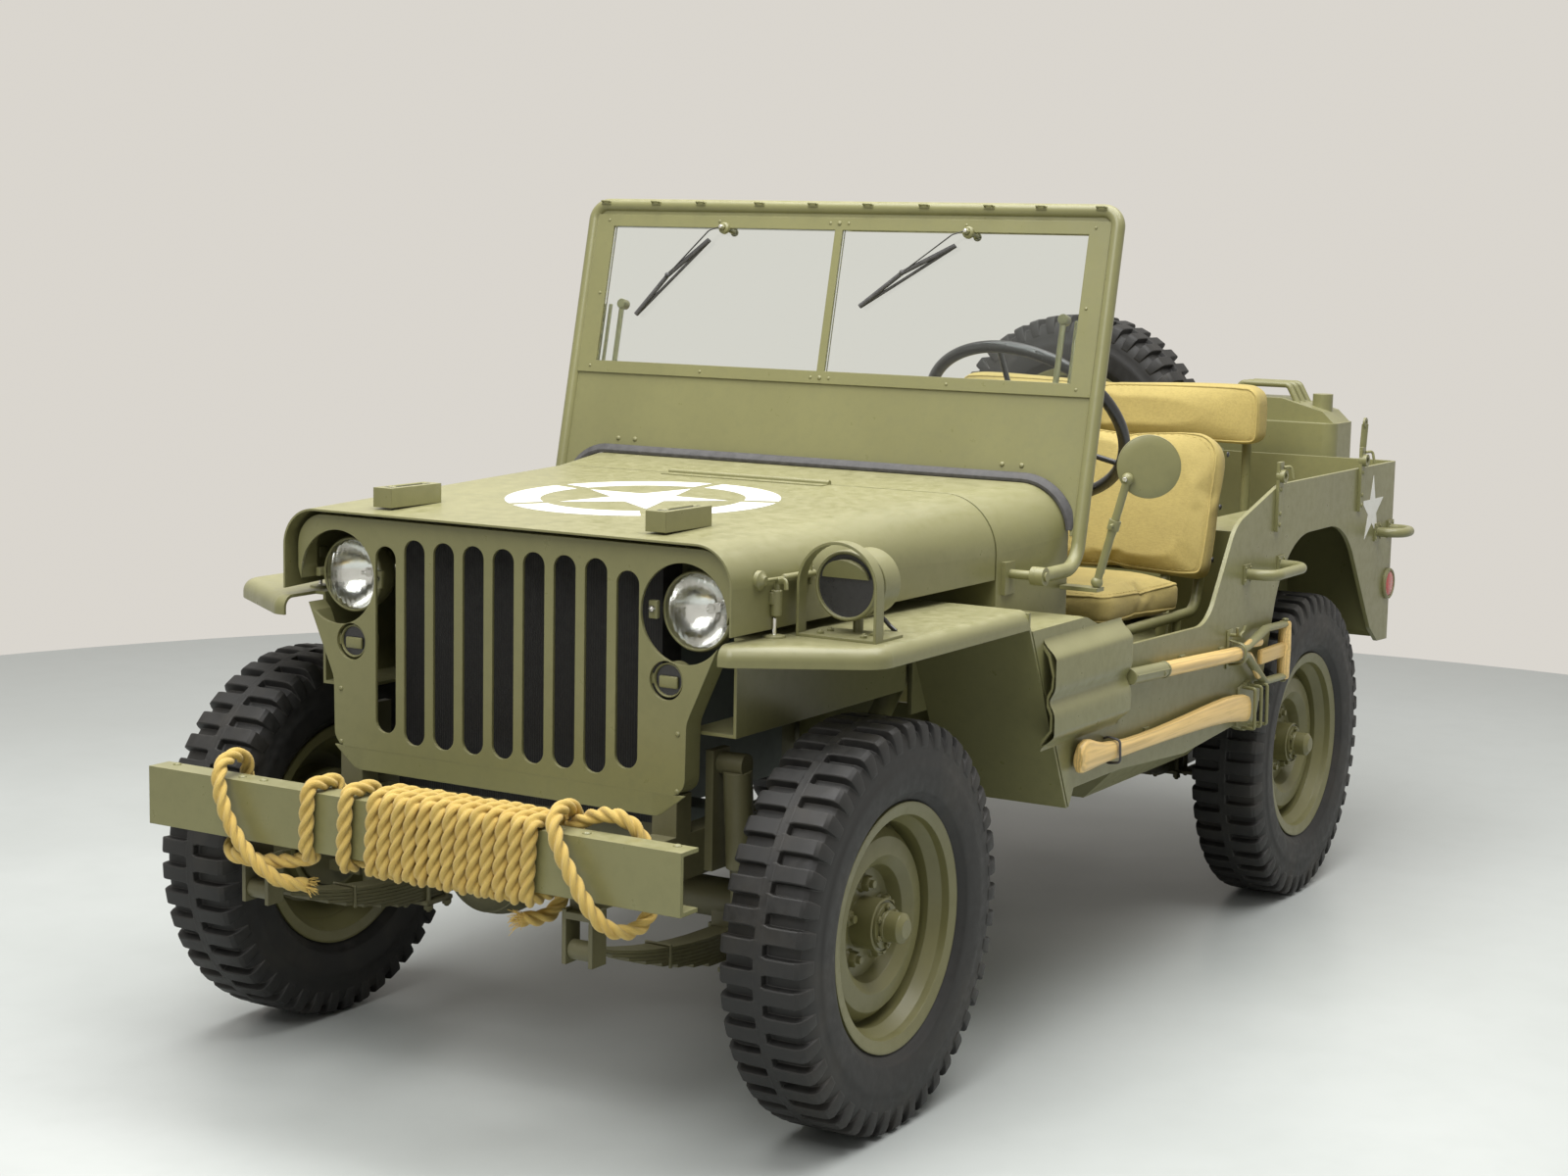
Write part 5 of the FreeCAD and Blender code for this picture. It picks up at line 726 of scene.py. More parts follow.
def wheel_fittings(paint_material, steel):
    """Wheel nuts, hub flange bolts, grease cap and valve on each wheel and the spare."""

    def spot(along, radius, angle):
        return Vector((radius * cos(radians(angle)), along, radius * sin(radians(angle)))) / 1000

    for name, (body, centre, turn, _) in WHEELS.items():
        piece = Piece(f"wheel_fittings_{name}", body, paint_material, steel)
        for k in range(STUDS):
            seat = spot(-8, STUD_RADIUS, 360 / STUDS * k + 90)
            piece.lathe([(0, 18), (5, 15.5), (5, 0)], seat, LEFT, 0, 20)
            piece.nut(seat + LEFT * 0.004, LEFT, 25.4, 13.5, 0, 14.4, 8)
        for k in range(HUB_BOLTS):
            piece.nut(spot(42, HUB_BOLT_RADIUS, 360 / HUB_BOLTS * k + 30), LEFT, 11, 5, 0, 5, 2)
        piece.lathe([(34, 47.5), (37, 47.5), (38.5, 45)], (0, 0, 0), LEFT)
        piece.lathe([(44, 28.5), (48, 28.5), (50, 27.4)], (0, 0, 0), LEFT, 0, 32)
        piece.rod(spot(10, 176, VALVE_TURN), spot(44, 184, VALVE_TURN), 4.2, 1, 12, 1)
        piece.rod(spot(40, 183, VALVE_TURN), spot(50, 185.5, VALVE_TURN), 5, 1, 10, 1.2)
        piece.move(seated(centre, turn))
        piece.done()


# ---------------------------------------------------------------- cushions

VOXEL, PRESSURE, SWELL_CAP, SOFTEN_ROUNDS = 0.0065, 2.6, 0.024, 6
CROWN, SWELL_ROOM, SIDE_ROOM, CROWN_ROOM = 0.010, 0.004, 0.010, 0.014
BLOCK_EASE, STITCH_INSET = 0.006, 0.011
CLOTH = {"quality": 6, "mass": 0.35, "tension_stiffness": 40, "compression_stiffness": 40,
         "shear_stiffness": 20, "bending_stiffness": 6, "use_pressure": True,
         "uniform_pressure_force": PRESSURE}
FRAMES = 20


def places(data):
    return np.array([v.co for v in data.vertices])


def soft_block(name, width, height, thick, corners):
    """A closed block with rounded corners in its own plane, remeshed evenly. Sizes in metres."""
    outline = []
    ways = ((1, -1), (1, 1), (-1, 1), (-1, -1))
    for (cx, cy), radius, start in zip(ways, corners, (270, 0, 90, 180)):
        outline += [(cx * (width / 2 - radius) + u, cy * (height / 2 - radius) + v)
                    for u, v in circle(radius, start, 90, 6)]
    piece = Piece(name, "chassis")
    rings = []
    for inset, level in ((BLOCK_EASE, -thick / 2), (0, -thick / 2 + BLOCK_EASE),
                         (0, thick / 2 - BLOCK_EASE), (BLOCK_EASE, thick / 2)):
        shrink = (1 - 2 * inset / width, 1 - 2 * inset / height)
        rings.append(piece.ring((x * shrink[0], y * shrink[1], level) for x, y in outline))
    piece.bar(rings)
    block = bpy.data.meshes.new(name)
    piece.mesh.to_mesh(block)
    piece.mesh.free()
    made = new_object(name, block)
    cells = made.modifiers.new("Cells", "REMESH")
    cells.mode = "VOXEL"
    cells.voxel_size = VOXEL
    bpy.context.view_layer.update()
    graph = bpy.context.evaluated_depsgraph_get()
    made.data = bpy.data.meshes.new_from_object(made.evaluated_get(graph))
    made.modifiers.clear()
    bpy.data.meshes.remove(block)
    return made, outline


def inflate(made):
    """Lets cloth swell under pressure, then keeps each point's move within the cap."""
    before = places(made.data)
    cloth = made.modifiers.new("Cloth", "CLOTH")
    for key, value in CLOTH.items():
        setattr(cloth.settings, key, value)
    cloth.settings.effector_weights.gravity = 0
    cloth.point_cache.frame_start, cloth.point_cache.frame_end = 1, FRAMES
    for step in range(1, FRAMES + 1):
        SCENE.frame_set(step)
    graph = bpy.context.evaluated_depsgraph_get()
    move = places(made.evaluated_get(graph).to_mesh()) - before
    made.modifiers.clear()
    SCENE.frame_set(1)
    reach = np.linalg.norm(move, axis=1, keepdims=True)
    move *= np.minimum(1, SWELL_CAP / np.maximum(reach, 1e-9))
    made.data.vertices.foreach_set("co", (before + move).ravel())
    made.data.update()


def soften(made):
    """Eases the small ripples out of a mesh and leaves its folds."""
    mesh = bmesh.new()
    mesh.from_mesh(made.data)
    for _ in range(SOFTEN_ROUNDS):
        bmesh.ops.smooth_vert(mesh, verts=mesh.verts, factor=0.5,
                              use_axis_x=True, use_axis_y=True, use_axis_z=True)
    mesh.to_mesh(made.data)
    mesh.free()


def swell(made, size, flat_back):
    """The block's stuffed shape, kept within its own size and crown."""
    width, height, thick = size
    inflate(made)
    soften(made)
    points = places(made.data)
    for axis, reach in ((0, width / 2 + SWELL_ROOM), (1, height / 2 + SWELL_ROOM)):
        points[:, axis] = points[:, axis].clip(-reach, reach)
    points[:, 2] = points[:, 2].clip(-thick / 2 if flat_back else None, thick / 2 + CROWN)
    made.data.vertices.foreach_set("co", points.ravel())
    made.data.update()
    for face in made.data.polygons:
        face.use_smooth = True


def piping(trim, surface, outline, half, level, stitched):
    """A cord around one edge of a cushion, and a row of stitches just inside it."""
    seam = [surface.find_nearest(Vector((x * 1.02, y * 1.02, level * (half + 0.004))))[0]
            for x, y in outline]
    count = len(seam)
    smooth = [(seam[k - 1] + seam[k] * 2 + seam[(k + 1) % count]) / 4 for k in range(count)]
    dense = []
    for here, after in zip(smooth, smooth[1:] + smooth[:1]):
        steps = max(1, int((after - here).length / 0.016))
        for j in range(steps):
            near, normal, *_ = surface.find_nearest(here.lerp(after, j / steps))
            dense.append(near + normal * 0.0006)
    trim.tube(dense, 2.6, 0, 8, True)
    if not stitched:
        return
    for here, after in zip(dense, dense[1:] + dense[:1]):
        inward = Vector((-here.x, -here.y, 0)).normalized() * STITCH_INSET
        ends = [surface.find_nearest(here.lerp(after, t) + inward) for t in (0.2, 0.65)]
        trim.tube([near + normal * 0.0003 for near, normal, *_ in ends], 0.7, 0, 5)


def pad(name, body, node, centre, up_way, size, corners, material, flat_back=True):
    """A stuffed cushion: cloth-inflated block with piped and stitched edges."""
    width, height, thick = size
    made, outline = soft_block(name, width - SIDE_ROOM, height - SIDE_ROOM, thick - CROWN_ROOM,
                               corners)
    swell(made, size, flat_back)
    up = Vector(up_way).normalized()
    place = (Matrix.Translation(at(*centre))
             @ Matrix((LEFT, up, LEFT.cross(up))).transposed().to_4x4())
    surface = BVHTree.FromPolygons([v.co for v in made.data.vertices],
                                   [f.vertices for f in made.data.polygons])
    trim = Piece(f"{name}_piping", body, material)
    for level in (1, -1):
        piping(trim, surface, outline, thick / 2, level, level > 0 or not flat_back)
    trim.move(place)
    made.data.transform(place)
    made.data.materials.clear()
    made.data.materials.append(material)
    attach(made, body)
    trim.done()
    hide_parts(node)


SEAT_Y, SEAT_TILT = 398, radians(1.6)
SEAT_BACK_X, SEAT_BACK_Z, SEAT_BACK_LEAN = -1571.3, 965, radians(16)


def cushions(material):
    ahead = (-cos(SEAT_TILT), 0, -sin(SEAT_TILT))
    up = (-sin(SEAT_BACK_LEAN), 0, cos(SEAT_BACK_LEAN))
    for name, body, y, node in (("driver", "chassis", SEAT_Y, "seat_cushions"),
                                ("passenger", "passenger_seat", -SEAT_Y, "passenger_cushions")):
        pad(f"{name}_cushion", body, node, (-1262.5, y, 781), ahead, (0.410, 0.435, 0.072),
            (0.035, 0.05, 0.05, 0.035), material)
        pad(f"{name}_back", body, node, (SEAT_BACK_X, y, SEAT_BACK_Z), up, (0.466, 0.343, 0.069),
            (0.03, 0.07, 0.07, 0.03), material)
    pad("rear_cushion", "chassis", "seat_cushions", (-2075, 0, 815), -AHEAD, (0.8, 0.39, 0.088),
        (0.03, 0.03, 0.03, 0.03), material)
    pad("rear_back", "chassis", "seat_cushions", (-2375, 0, 1120), UP, (0.856, 0.16, 0.088),
        (0.03, 0.045, 0.045, 0.03), material, flat_back=False)


# ---------------------------------------------------------------- markings

HOOD_SLOPE, HOOD_STAR_X, HOOD_STAR_Z = 24 / 839, -215, 1032 + (245 + 215) * 24 / 839 + 0.2
STAR_WAIST, PAINT_LIFT, RING_GAP, ARC_STEPS = 0.382, 0.8, 13.0, 18


def marking(name, body, centre, first, second, star, turn, material, ring=()):
    """A painted star, with a stencilled ring broken in line with its tips."""
    piece = Piece(name, body, material)
    centre, first, second = at(*centre), Vector(first).normalized(), Vector(second).normalized()
    lift = first.cross(second) * (PAINT_LIFT / 1000)

    def sheet(outline):
        low = [centre + first * (u / 1000) + second * (v / 1000) for u, v in outline]
        rings = [piece.ring(low), piece.ring(place + lift for place in low)]
        piece.skin(rings, ends=(rings[1],))

    tips, waists = (circle(r, turn + a, 360, 5, whole=True)
                    for r, a in ((star, 0), (star * STAR_WAIST, 36)))
    sheet([corner for pair in zip(tips, waists) for corner in pair])
    for k in range(5 if ring else 0):
        arcs = []
        for radius in ring:
            skip = degrees(RING_GAP / radius)
            arcs.append(circle(radius, turn + 72 * k + skip, 72 - 2 * skip, ARC_STEPS))
        inner, outer = arcs
        for corners in zip(outer, outer[1:], inner[1:], inner):
            sheet(corners)
    piece.done(crease=20)


def markings(white):
    marking("hood_star", "hood", (HOOD_STAR_X, 0, HOOD_STAR_Z), (1, 0, -HOOD_SLOPE), LEFT,
            166, 36, white, (195, 262))
    for name, way in (("left", 1), ("right", -1)):
        marking(f"side_star_{name}", "chassis", (-2385, 712 * way, 900), UP, AHEAD * way,
                86, 0, white)


# ---------------------------------------------------------------- lamps

HEADLAMP = (174, 380, 907)
HEADLAMP_SHELL = [(-70, 0), (-70, 26), (-64, 44), (-50, 58), (-30, 66), (-12, 68.5), (-9, 70),
                  (4, 70), (6.5, 68), (6.5, 65.5), (2, 64.5), (-8, 64)]
HEADLAMP_BOWL = [(-8, 64.2), (-18, 59), (-32, 47), (-46, 30), (-54, 12), (-55, 0)]
LENS_CURVE, LENS_DEPTH, LENS_THICK = 150, 130, 4
CATCH_Y, MARKER = 303, (216, 347, 790)
MARKER_SHELL = [(-46, 0), (-46, 22), (-38, 29), (-6, 30), (0, 30), (0.5, 28), (-4, 26.5)]
TAIL_X, TAIL_Y, TAIL_Z = -2570, 600, 690
TAIL_SHELL = [(0, 0), (0, 40), (4, 42), (20, 42), (24, 40), (26, 37), (25, 0)]
REFLEX = (-2531, 712.2, 701)


def lamps(paint_material, bright, clear, dark, red):
    """Headlamps deep in the grille, marker lamps below them and two tail lamps."""
    shell = Piece("lamp_shells", "chassis", paint_material, dark, bright)
    panes = Piece("headlamp_lenses", "chassis", clear)
    for name, way in (("left", 1), ("right", -1)):
        mirror = Vector((1, way, 1))
        rim = at(*(mirror * Vector(HEADLAMP)))
        shell.lathe(HEADLAMP_SHELL, rim, AHEAD, 0, 48)
        shell.lathe(HEADLAMP_BOWL, rim, AHEAD, 2, 48)
        shell.rod(rim - AHEAD * 0.055, rim - AHEAD * 0.036, 9, 2, 16, 2)
        shell.dome(rim - AHEAD * 0.036, AHEAD, 7, 12, 2)
        shell.block_on(way, (156, 449, 899), (190, 459.7, 915))

        outer = [((LENS_CURVE ** 2 - r ** 2) ** 0.5 - LENS_DEPTH, r)
                 for r in (65.5, 60, 50, 38, 24, 10, 0)]
        inner = [(along - LENS_THICK, r) for along, r in outer[::-1]]
        panes.lathe(outer + inner[:-1] + [(0.5, 65)], rim, AHEAD, 0, 48, True)
        shell.nut(at(200, CATCH_Y * way, 908), AHEAD, 11, 6, 2, 5, 2)
        shell.block(at(190, CATCH_Y * way - 9, 890), at(200, CATCH_Y * way + 9, 922), 0, 0.002)

        mark = at(*(mirror * Vector(MARKER)))
        shell.lathe(MARKER_SHELL, mark, AHEAD, 0, 32)
        shell.lathe([(-4, 26.6), (-5, 26), (-5, 0)], mark, AHEAD, 1, 32)
        shell.block_on(way, (210, 328, 776), (217, 366, 797), 0, 0.003)
        for low in (307, 376):
            shell.block_on(way, (207.7, low, 781), (215.6, low + 11, 799))

        shell.lathe(TAIL_SHELL, at(TAIL_X, TAIL_Y * way, TAIL_Z), -AHEAD)
        for z, wide, tall in ((704, 22, 8), (678, 12, 9)):
            shell.block_on(way, (TAIL_X - 27.5, TAIL_Y - wide, z - tall),
                           (TAIL_X - 24, TAIL_Y + wide, z + tall), 1, 0.002)
        reflex, outward = at(*(mirror * Vector(REFLEX))), LEFT * way
        shell.lathe([(0, 30), (0, 39), (5, 39.5), (9, 37), (9, 33), (5, 31)], reflex, outward)
        for side in (-1, 1):
            shell.dome(reflex + Vector((0, 0.009 * way, 0.0355 * side)), outward, 3, 1.6)
        glow = Piece(f"side_reflector_{name}", "chassis", red)
        glow.lathe([(0, 0), (0, 32), (6, 32), (8.5, 27), (10, 14), (10.4, 0)], reflex, outward,
                   0, 36)
        glow.done()
    shell.done(("lamps",))
    panes.done(crease=50)


BLACKOUT = (52, 600, 957)
BLACKOUT_RINGS = ((0, [(-10, 59), (-8, 61), (2, 61), (5, 59.5), (6, 57), (5, 54.5), (1, 54)]),
                  (1, [(1, 54.2), (0.6, 50), (0.6, 0)]),
                  (0, [(-34, 59), (-33, 60), (-28, 60), (-27, 59)]))
VISOR_STEPS, VISOR_RADIUS, VISOR_RISE, VISOR_SQUASH = 14, 0.046, 0.006, 0.86


def blackout_lamp(paint_material, dark):
    """The dark driving lamp on the left fender: recessed face, half visor and rim band."""
    piece = Piece("blackout_lamp_face", "chassis", paint_material, dark)
    face = at(*BLACKOUT)
    for slot, profile in BLACKOUT_RINGS:
        piece.lathe(profile, face, AHEAD, slot, 48)
    back, front = [], []
    for k in range(VISOR_STEPS + 1):
        angle = pi * (0.06 + 0.88 * k / VISOR_STEPS)
        rim = (face + Vector((0, cos(angle), sin(angle) * VISOR_SQUASH)) * VISOR_RADIUS
               + UP * VISOR_RISE)
        back.append(rim + AHEAD * 0.001)
        front.append(rim + AHEAD * (0.004 + 0.017 * sin(angle)))
    rings = [piece.ring(back), piece.ring(front)]
    piece.skin(rings, wrap=False, ends=(rings[1][::-1],))
    for y, x in ((558, 66), (642, 66), (558, 32), (642, 32)):
        piece.nut(at(x, y, 873), UP, 12, 5, 0, 6, 2)
    piece.wire([(-30, 600, 905), (-60, 610, 890), (-64, 622, 876), (-64, 634, 868)], 20, 4, 1, 10)
    piece.done()


# ---------------------------------------------------------------- windshield

SHIELD_X, SHIELD_Z, SHIELD_LEAN = -802, 905, radians(12.5)
SHIELD_TOP, SHIELD_BOTTOM, PIVOT_Z = 1571, 1248, 1556
SASH_CATCH_Y, SASH_CATCH_Z = 537, (1388, 1240)
HOOKS = (67, 200, 350, 467, 600)
SHIELD_SCREWS = ((590, 1250), (590, 1570), (22, 1248), (22, 1571), (300, 1248), (300, 1571),
                 (590, 1410))
# pivot's y, blade carrier's foot and the blade's two tips, each as y, z on the glass
WIPERS = ((-284, (-411, 1451), (-483, 1364), (-318, 1530)),
          (308, (169, 1470), (77, 1398), (282, 1528)))
SEAL_Y, SEAL_Z, SEAL_BEND, SEAL_TOP = 506, 966, 100, 1066
# reach out of the hood's line, x, and whether the lip ripples there
SEAL_SECTION = ((0.6, -827, 0), (0.6, -812, 0), (7, -810.5, 1), (15, -816, 1), (19, -823, 0),
                (17, -828, 0))


def shield_spot(y, z, out=0.0):
    """A point on the windshield's middle plane, stepped forward off it."""
    x = SHIELD_X - (z - SHIELD_Z) * tan(SHIELD_LEAN)
    return at(x + out * cos(SHIELD_LEAN), y, z + out * sin(SHIELD_LEAN))


def windshield_details(paint_material, dark, steel):
    """Top hooks, wipers with their pivots and link, catches, rivets and screws."""
    piece = Piece("windshield_fittings", "windshield", paint_material, dark, steel)
    ahead = (shield_spot(0, 1000, 1) - shield_spot(0, 1000)).normalized()
    for y in [-y for y in HOOKS[::-1]] + list(HOOKS):
        top = shield_spot(y, 1607, 13.5)
        piece.block(top - Vector((0.002, 0.012, 0.004)), top + Vector((0.003, 0.012, 0.004)),
                    0, 0.001)
        piece.tube(bent([top + Vector(step) for step in (
            (0.001, -0.009, 0.002), (0.009, -0.009, 0.004), (0.010, 0.009, 0.004),
            (0.001, 0.009, 0.002))], 3, 4), 2, 0, 8)
    for y, foot, low, high in WIPERS:
        pivot, elbow = shield_spot(y, PIVOT_Z, 8), shield_spot(*foot, 17)
        piece.lathe([(0, 13), (6, 12.5), (9, 9), (9, 0)], pivot, ahead, 0, 24)
        piece.rod(pivot, pivot + ahead * 0.022, 4, 2, 12, 1)
        piece.nut(pivot + ahead * 0.010, ahead, 12, 5)
        piece.tube(bent([pivot + ahead * 0.018, shield_spot(y - 30, 1548, 24), elbow], 20),
                   2.6, 1, 8, flat=0.5)
        piece.tube([shield_spot(*low, 13), shield_spot(*foot, 15), shield_spot(*high, 13)],
                   4.2, 1, 8, flat=1.2)
        piece.tube([shield_spot(*low, 8.2), shield_spot(*high, 8.2)], 3.4, 1, 6)
        piece.dome(elbow, ahead, 6, 6, 1)
        inside = shield_spot(y, PIVOT_Z, -34)
        piece.rod(shield_spot(y, PIVOT_Z, -8), inside, 5, 0, 12, 1)
        piece.dome(inside, -ahead, 9, 9)
    piece.tube([shield_spot(-300, 1578, -11), shield_spot(300, 1578, -11)], 3, 0, 10)
    for way in (1, -1):
        for y in (447, 491):
            piece.dome(shield_spot(y * way, 1096, 3.4), ahead, 5.5, 3.4)
        for y, z in SHIELD_SCREWS:
            piece.dome(shield_spot(y * way, z, 7.9), ahead, 3.6, 2)
        y = SASH_CATCH_Y * way
        latch = [shield_spot(y, z, -10) for z in SASH_CATCH_Z]
        piece.tube(latch, 7, 0, 8, flat=0.35)
        piece.tube([p + LEFT * 0.03 * way for p in latch], 5, 0, 8, flat=0.35)
        piece.rod(shield_spot(y, 1390, -26), shield_spot(y, 1390, -4), 11, 0, 20, 1.5)
        piece.lathe([(-17, 15.5), (-16, 18), (-6, 18.2), (-5, 15.5)], at(-640, 634 * way, 905),
                    LEFT * way, 0, 28)
    for z in (SHIELD_TOP, SHIELD_BOTTOM):
        piece.dome(shield_spot(0, z, 8), ahead, 5, 3)
    piece.done()


def cowl_seal(dark):
    """The rubber strip between the cowl and the windshield's foot, slightly rippled."""
    seal = Piece("windshield_seal", "chassis", dark)
    bend = [(SEAL_Y + SEAL_BEND * sin(radians(a)), SEAL_Z + SEAL_BEND * cos(radians(a)),
             sin(radians(a)), cos(radians(a))) for a in range(84, -1, -6)]
    path = bend + [(y, SEAL_TOP, 0, 1) for y in range(440, -441, -40)]
    path += [(-y, z, -u, w) for y, z, u, w in bend[::-1]]
    rings = []
    for k, (y, z, u, w) in enumerate(path):
        wave = 1.2 * noise.noise(Vector((k * 0.7, 0, 0)))
        rings.append(seal.ring(at(x + wave * ripples, y + u * reach, z + w * reach)
                               for reach, x, ripples in SEAL_SECTION))
    seal.bar(rings)
    seal.done()


# ---------------------------------------------------------------- tools on the left side

# the shovel's shaft runs through (SHOVEL_X, SHOVEL_Y, SHOVEL_Z), rising forward
SHOVEL_X, SHOVEL_Y, SHOVEL_Z, SHOVEL_SLOPE = -853, 733, 690, 0.0494
GRIP_X, GRIP_FORK_X, STRAP_X = -1741, -1428, -1448
CORE_SIDE = 714.2
# x, and z at the underside and the top, of the axe's shaft from its knob to its head
HELVE = ((-634, 540, 574), (-637, 533, 583), (-648, 530, 590), (-664, 530, 594),
         (-686, 530.5, 591), (-716, 532, 582), (-750, 533, 575), (-800, 533, 570),
         (-860, 532, 565), (-930, 531, 563), (-1020, 529.5, 563), (-1120, 527, 565),
         (-1220, 524, 568), (-1310, 520.5, 570.5), (-1390, 515.5, 571.5), (-1450, 509, 569),
         (-1500, 502, 563), (-1522, 499.5, 557), (-1530, 502, 550))
HELVE_Y, HELVE_THICK, HELVE_END = 730, 12.6, 9.5
SHEATH_Y = 717.5
SHEATH = ((-1508, 574), (-1508, 486), (-1560, 470), (-1618, 474), (-1624, 500), (-1618, 562),
          (-1575, 586))


def shovel_at(x, out=0, rise=0):
    """A place on the shovel's shaft line, stepped outboard and up."""
    return at(x, SHOVEL_Y + out, SHOVEL_Z + (x - SHOVEL_X) * SHOVEL_SLOPE + rise)


def flattened(value, power):
    """A sine or cosine pressed toward a rounded square."""
    return np.sign(value) * abs(value) ** power


def shovel(piece):
    """Socket with its seam, wooden shaft, forked grip, clamp plate and the blade's flat."""
    back = Vector((-1, 0, -SHOVEL_SLOPE))
    piece.rod(shovel_at(-860), shovel_at(-1036), 16.4, 0, 28, 1.2)
    piece.tube([shovel_at(-865, 15.6, 3), shovel_at(-1030, 15.6, 3)], 1.8, 0, 6)
    piece.lathe([(0, 16), (0, 17.6), (6, 17.8), (7, 16)], shovel_at(-1029), back, 0, 28)
    piece.dome(shovel_at(-1006, 15.5, -4), Vector((0, 1, -0.2)), 5, 3)
    piece.lathe([(0, 0), (0, 15.4), (12, 16), (200, 16), (400, 15.6), (414, 15), (415, 0)],
                shovel_at(-1035), back, 1, 28)
    fork = SHOVEL_Z + (-1451 - SHOVEL_X) * SHOVEL_SLOPE
    for way in (1, -1):
        spread = 632 + 60 * way
        piece.tube(bent([at(GRIP_FORK_X, SHOVEL_Y, fork + 4 * way),
                         at(-1500, SHOVEL_Y, fork + 8 * way), at(-1618, SHOVEL_Y, spread + 4),
                         at(GRIP_X, SHOVEL_Y, spread)], 46, 10), 11.5, 0, 14, flat=0.72)
        piece.tube([at(-1452, SHOVEL_Y, fork), at(-1520, SHOVEL_Y, fork + 14 * way),
                    at(-1585, SHOVEL_Y, spread - 22 * way)], 8, 1, 10, flat=1.2)
        piece.dome(at(GRIP_X, SHOVEL_Y, spread + 10 * way), UP * way, 8, 4)
    piece.block(at(-1736, SHOVEL_Y - 7, 618), at(-1585, SHOVEL_Y + 7, 652), 1, 0.005)
    piece.lathe([(0, 0), (0, 12), (4, 14), (66, 15.4), (128, 14), (132, 12), (132, 0)],
                at(GRIP_X, SHOVEL_Y, 566), UP, 1, 24)
    piece.block(at(-880, 714, 676), at(-780, 720.5, 704), 0, 0.002)
    half = ((-820, 50), (-800, 56), (-570, 52), (-560, 10))
    piece.plate([at(x, CORE_SIDE, SHOVEL_Z + z) for x, z in half]
                + [at(x, CORE_SIDE, SHOVEL_Z - z) for x, z in half[::-1]], 0.0045)


def axe(piece):
    """Shaped wooden helve, canvas-covered head with its straps, and the loop at the knob."""
    rings = []
    for x, low, high in HELVE:
        half, middle = (high - low) / 2, (high + low) / 2
        thick = HELVE_THICK if -1525 < x < -640 else HELVE_END
        rings.append(piece.ring(at(x, HELVE_Y + thick * flattened(u, 0.8),
                                   middle + half * flattened(v, 0.75))
                                for u, v in circle(1, steps=24, whole=True)))
    piece.bar(rings, 1)
    piece.plate([at(x, SHEATH_Y, z) for x, z in SHEATH], 0.027, 0.003)
    for x in (-1530, -1568, -1604):
        piece.wire([(x, 716, 574), (x, 747.5, 572), (x - 4, 747.5, 482), (x - 4, 716, 482)], 6, 4)
    piece.wire([(-792, 713, 574), (-792, 722, 578), (-795, 746, 573), (-798, 747, 528),
                (-801, 722, 524), (-801, 713, 528)], 10, 4, 2, 10, flat=0.6)


def clamp(piece):
    """The shovel's clamp: a plate, its bow over the shaft and a wing nut."""
    x, z = STRAP_X, SHOVEL_Z + (STRAP_X - SHOVEL_X) * SHOVEL_SLOPE
    piece.block(at(x - 16, 712, z - 34), at(x + 16, 716, z + 52), 0, 0.002)
    piece.wire([(x, 716, z - 26), (x, 752, z - 20), (x, 753, z + 20), (x, 716, z + 28)],
               18, 7, 0, 10, flat=0.4)
    piece.rod(at(x, 712, z + 40), at(x, 742, z + 40), 4, 0, 12, 1)
    for way in (1, -1):
        piece.wire([(x + 4 * way, 734, z + 40), (x + 16 * way, 738, z + 48),
                    (x + 22 * way, 740, z + 60)], 6, 4, flat=0.5)


def tools(paint_material, timber, dark):
    """Shovel and axe with their fastenings."""
    piece = Piece("pioneer_tools_dressed", "chassis", paint_material, timber, dark)
    shovel(piece)
    axe(piece)
    clamp(piece)
    piece.done(("pioneer_tools",))


POCKET_TOP, POCKET_REACH, POCKET_STEPS, POCKET_PROUD = 118, 214, 60, 27.5
# x of the skin's columns and how far the open end curls in
POCKET_COLUMNS = ((-850, 6.5), (-856, 5.5), (-858.5, 2.5), (-857.5, 0.4), (-853, 0), (-760, 0),
                  (-640, 0), (-500, 0))


def ease(t):
    t = min(max(t, 0), 1)
    return t * t * (3 - 2 * t)


def pocket_stand(z):
    """How far the pocket stands off the tub: two lobes with a waist between them."""
    lobes = POCKET_PROUD * ease((POCKET_TOP - z) / 40) * ease((z + 96) / 34)
    return max(lobes - 11 * np.exp(-(z / 16) ** 2), 0)


def blade_pocket(paint_material):
    """The smooth pressed skin over the shovel's blade, curled in at its open end."""
    piece = Piece("blade_pocket_skin", "chassis", paint_material)
    levels = [POCKET_TOP - POCKET_REACH * k / POCKET_STEPS for k in range(POCKET_STEPS + 1)]
    piece.skin([piece.ring(at(x, 712.2 + max(pocket_stand(z) - inset, 0), SHOVEL_Z + z)
                           for z in levels) for x, inset in POCKET_COLUMNS], wrap=False)
    piece.done(crease=60)


# ---------------------------------------------------------------- springs

LEAVES, LEAF_STEP, LEAF_PITCH, LEAF_THICK, LEAF_HALF_WIDTH = 8, 0.108, 6.6, 6.0, 0.02225
SPRING_Y, SPRING_RISE, SPRING_FLAT, CLIP_SHARE = 350, 62, 0.1, 0.52


def spring_rise(share):
    """How far a leaf pack has risen at a share of its half length, above its flat seat."""
    return SPRING_RISE * (max(share - SPRING_FLAT, 0) / (1 - SPRING_FLAT)) ** 2


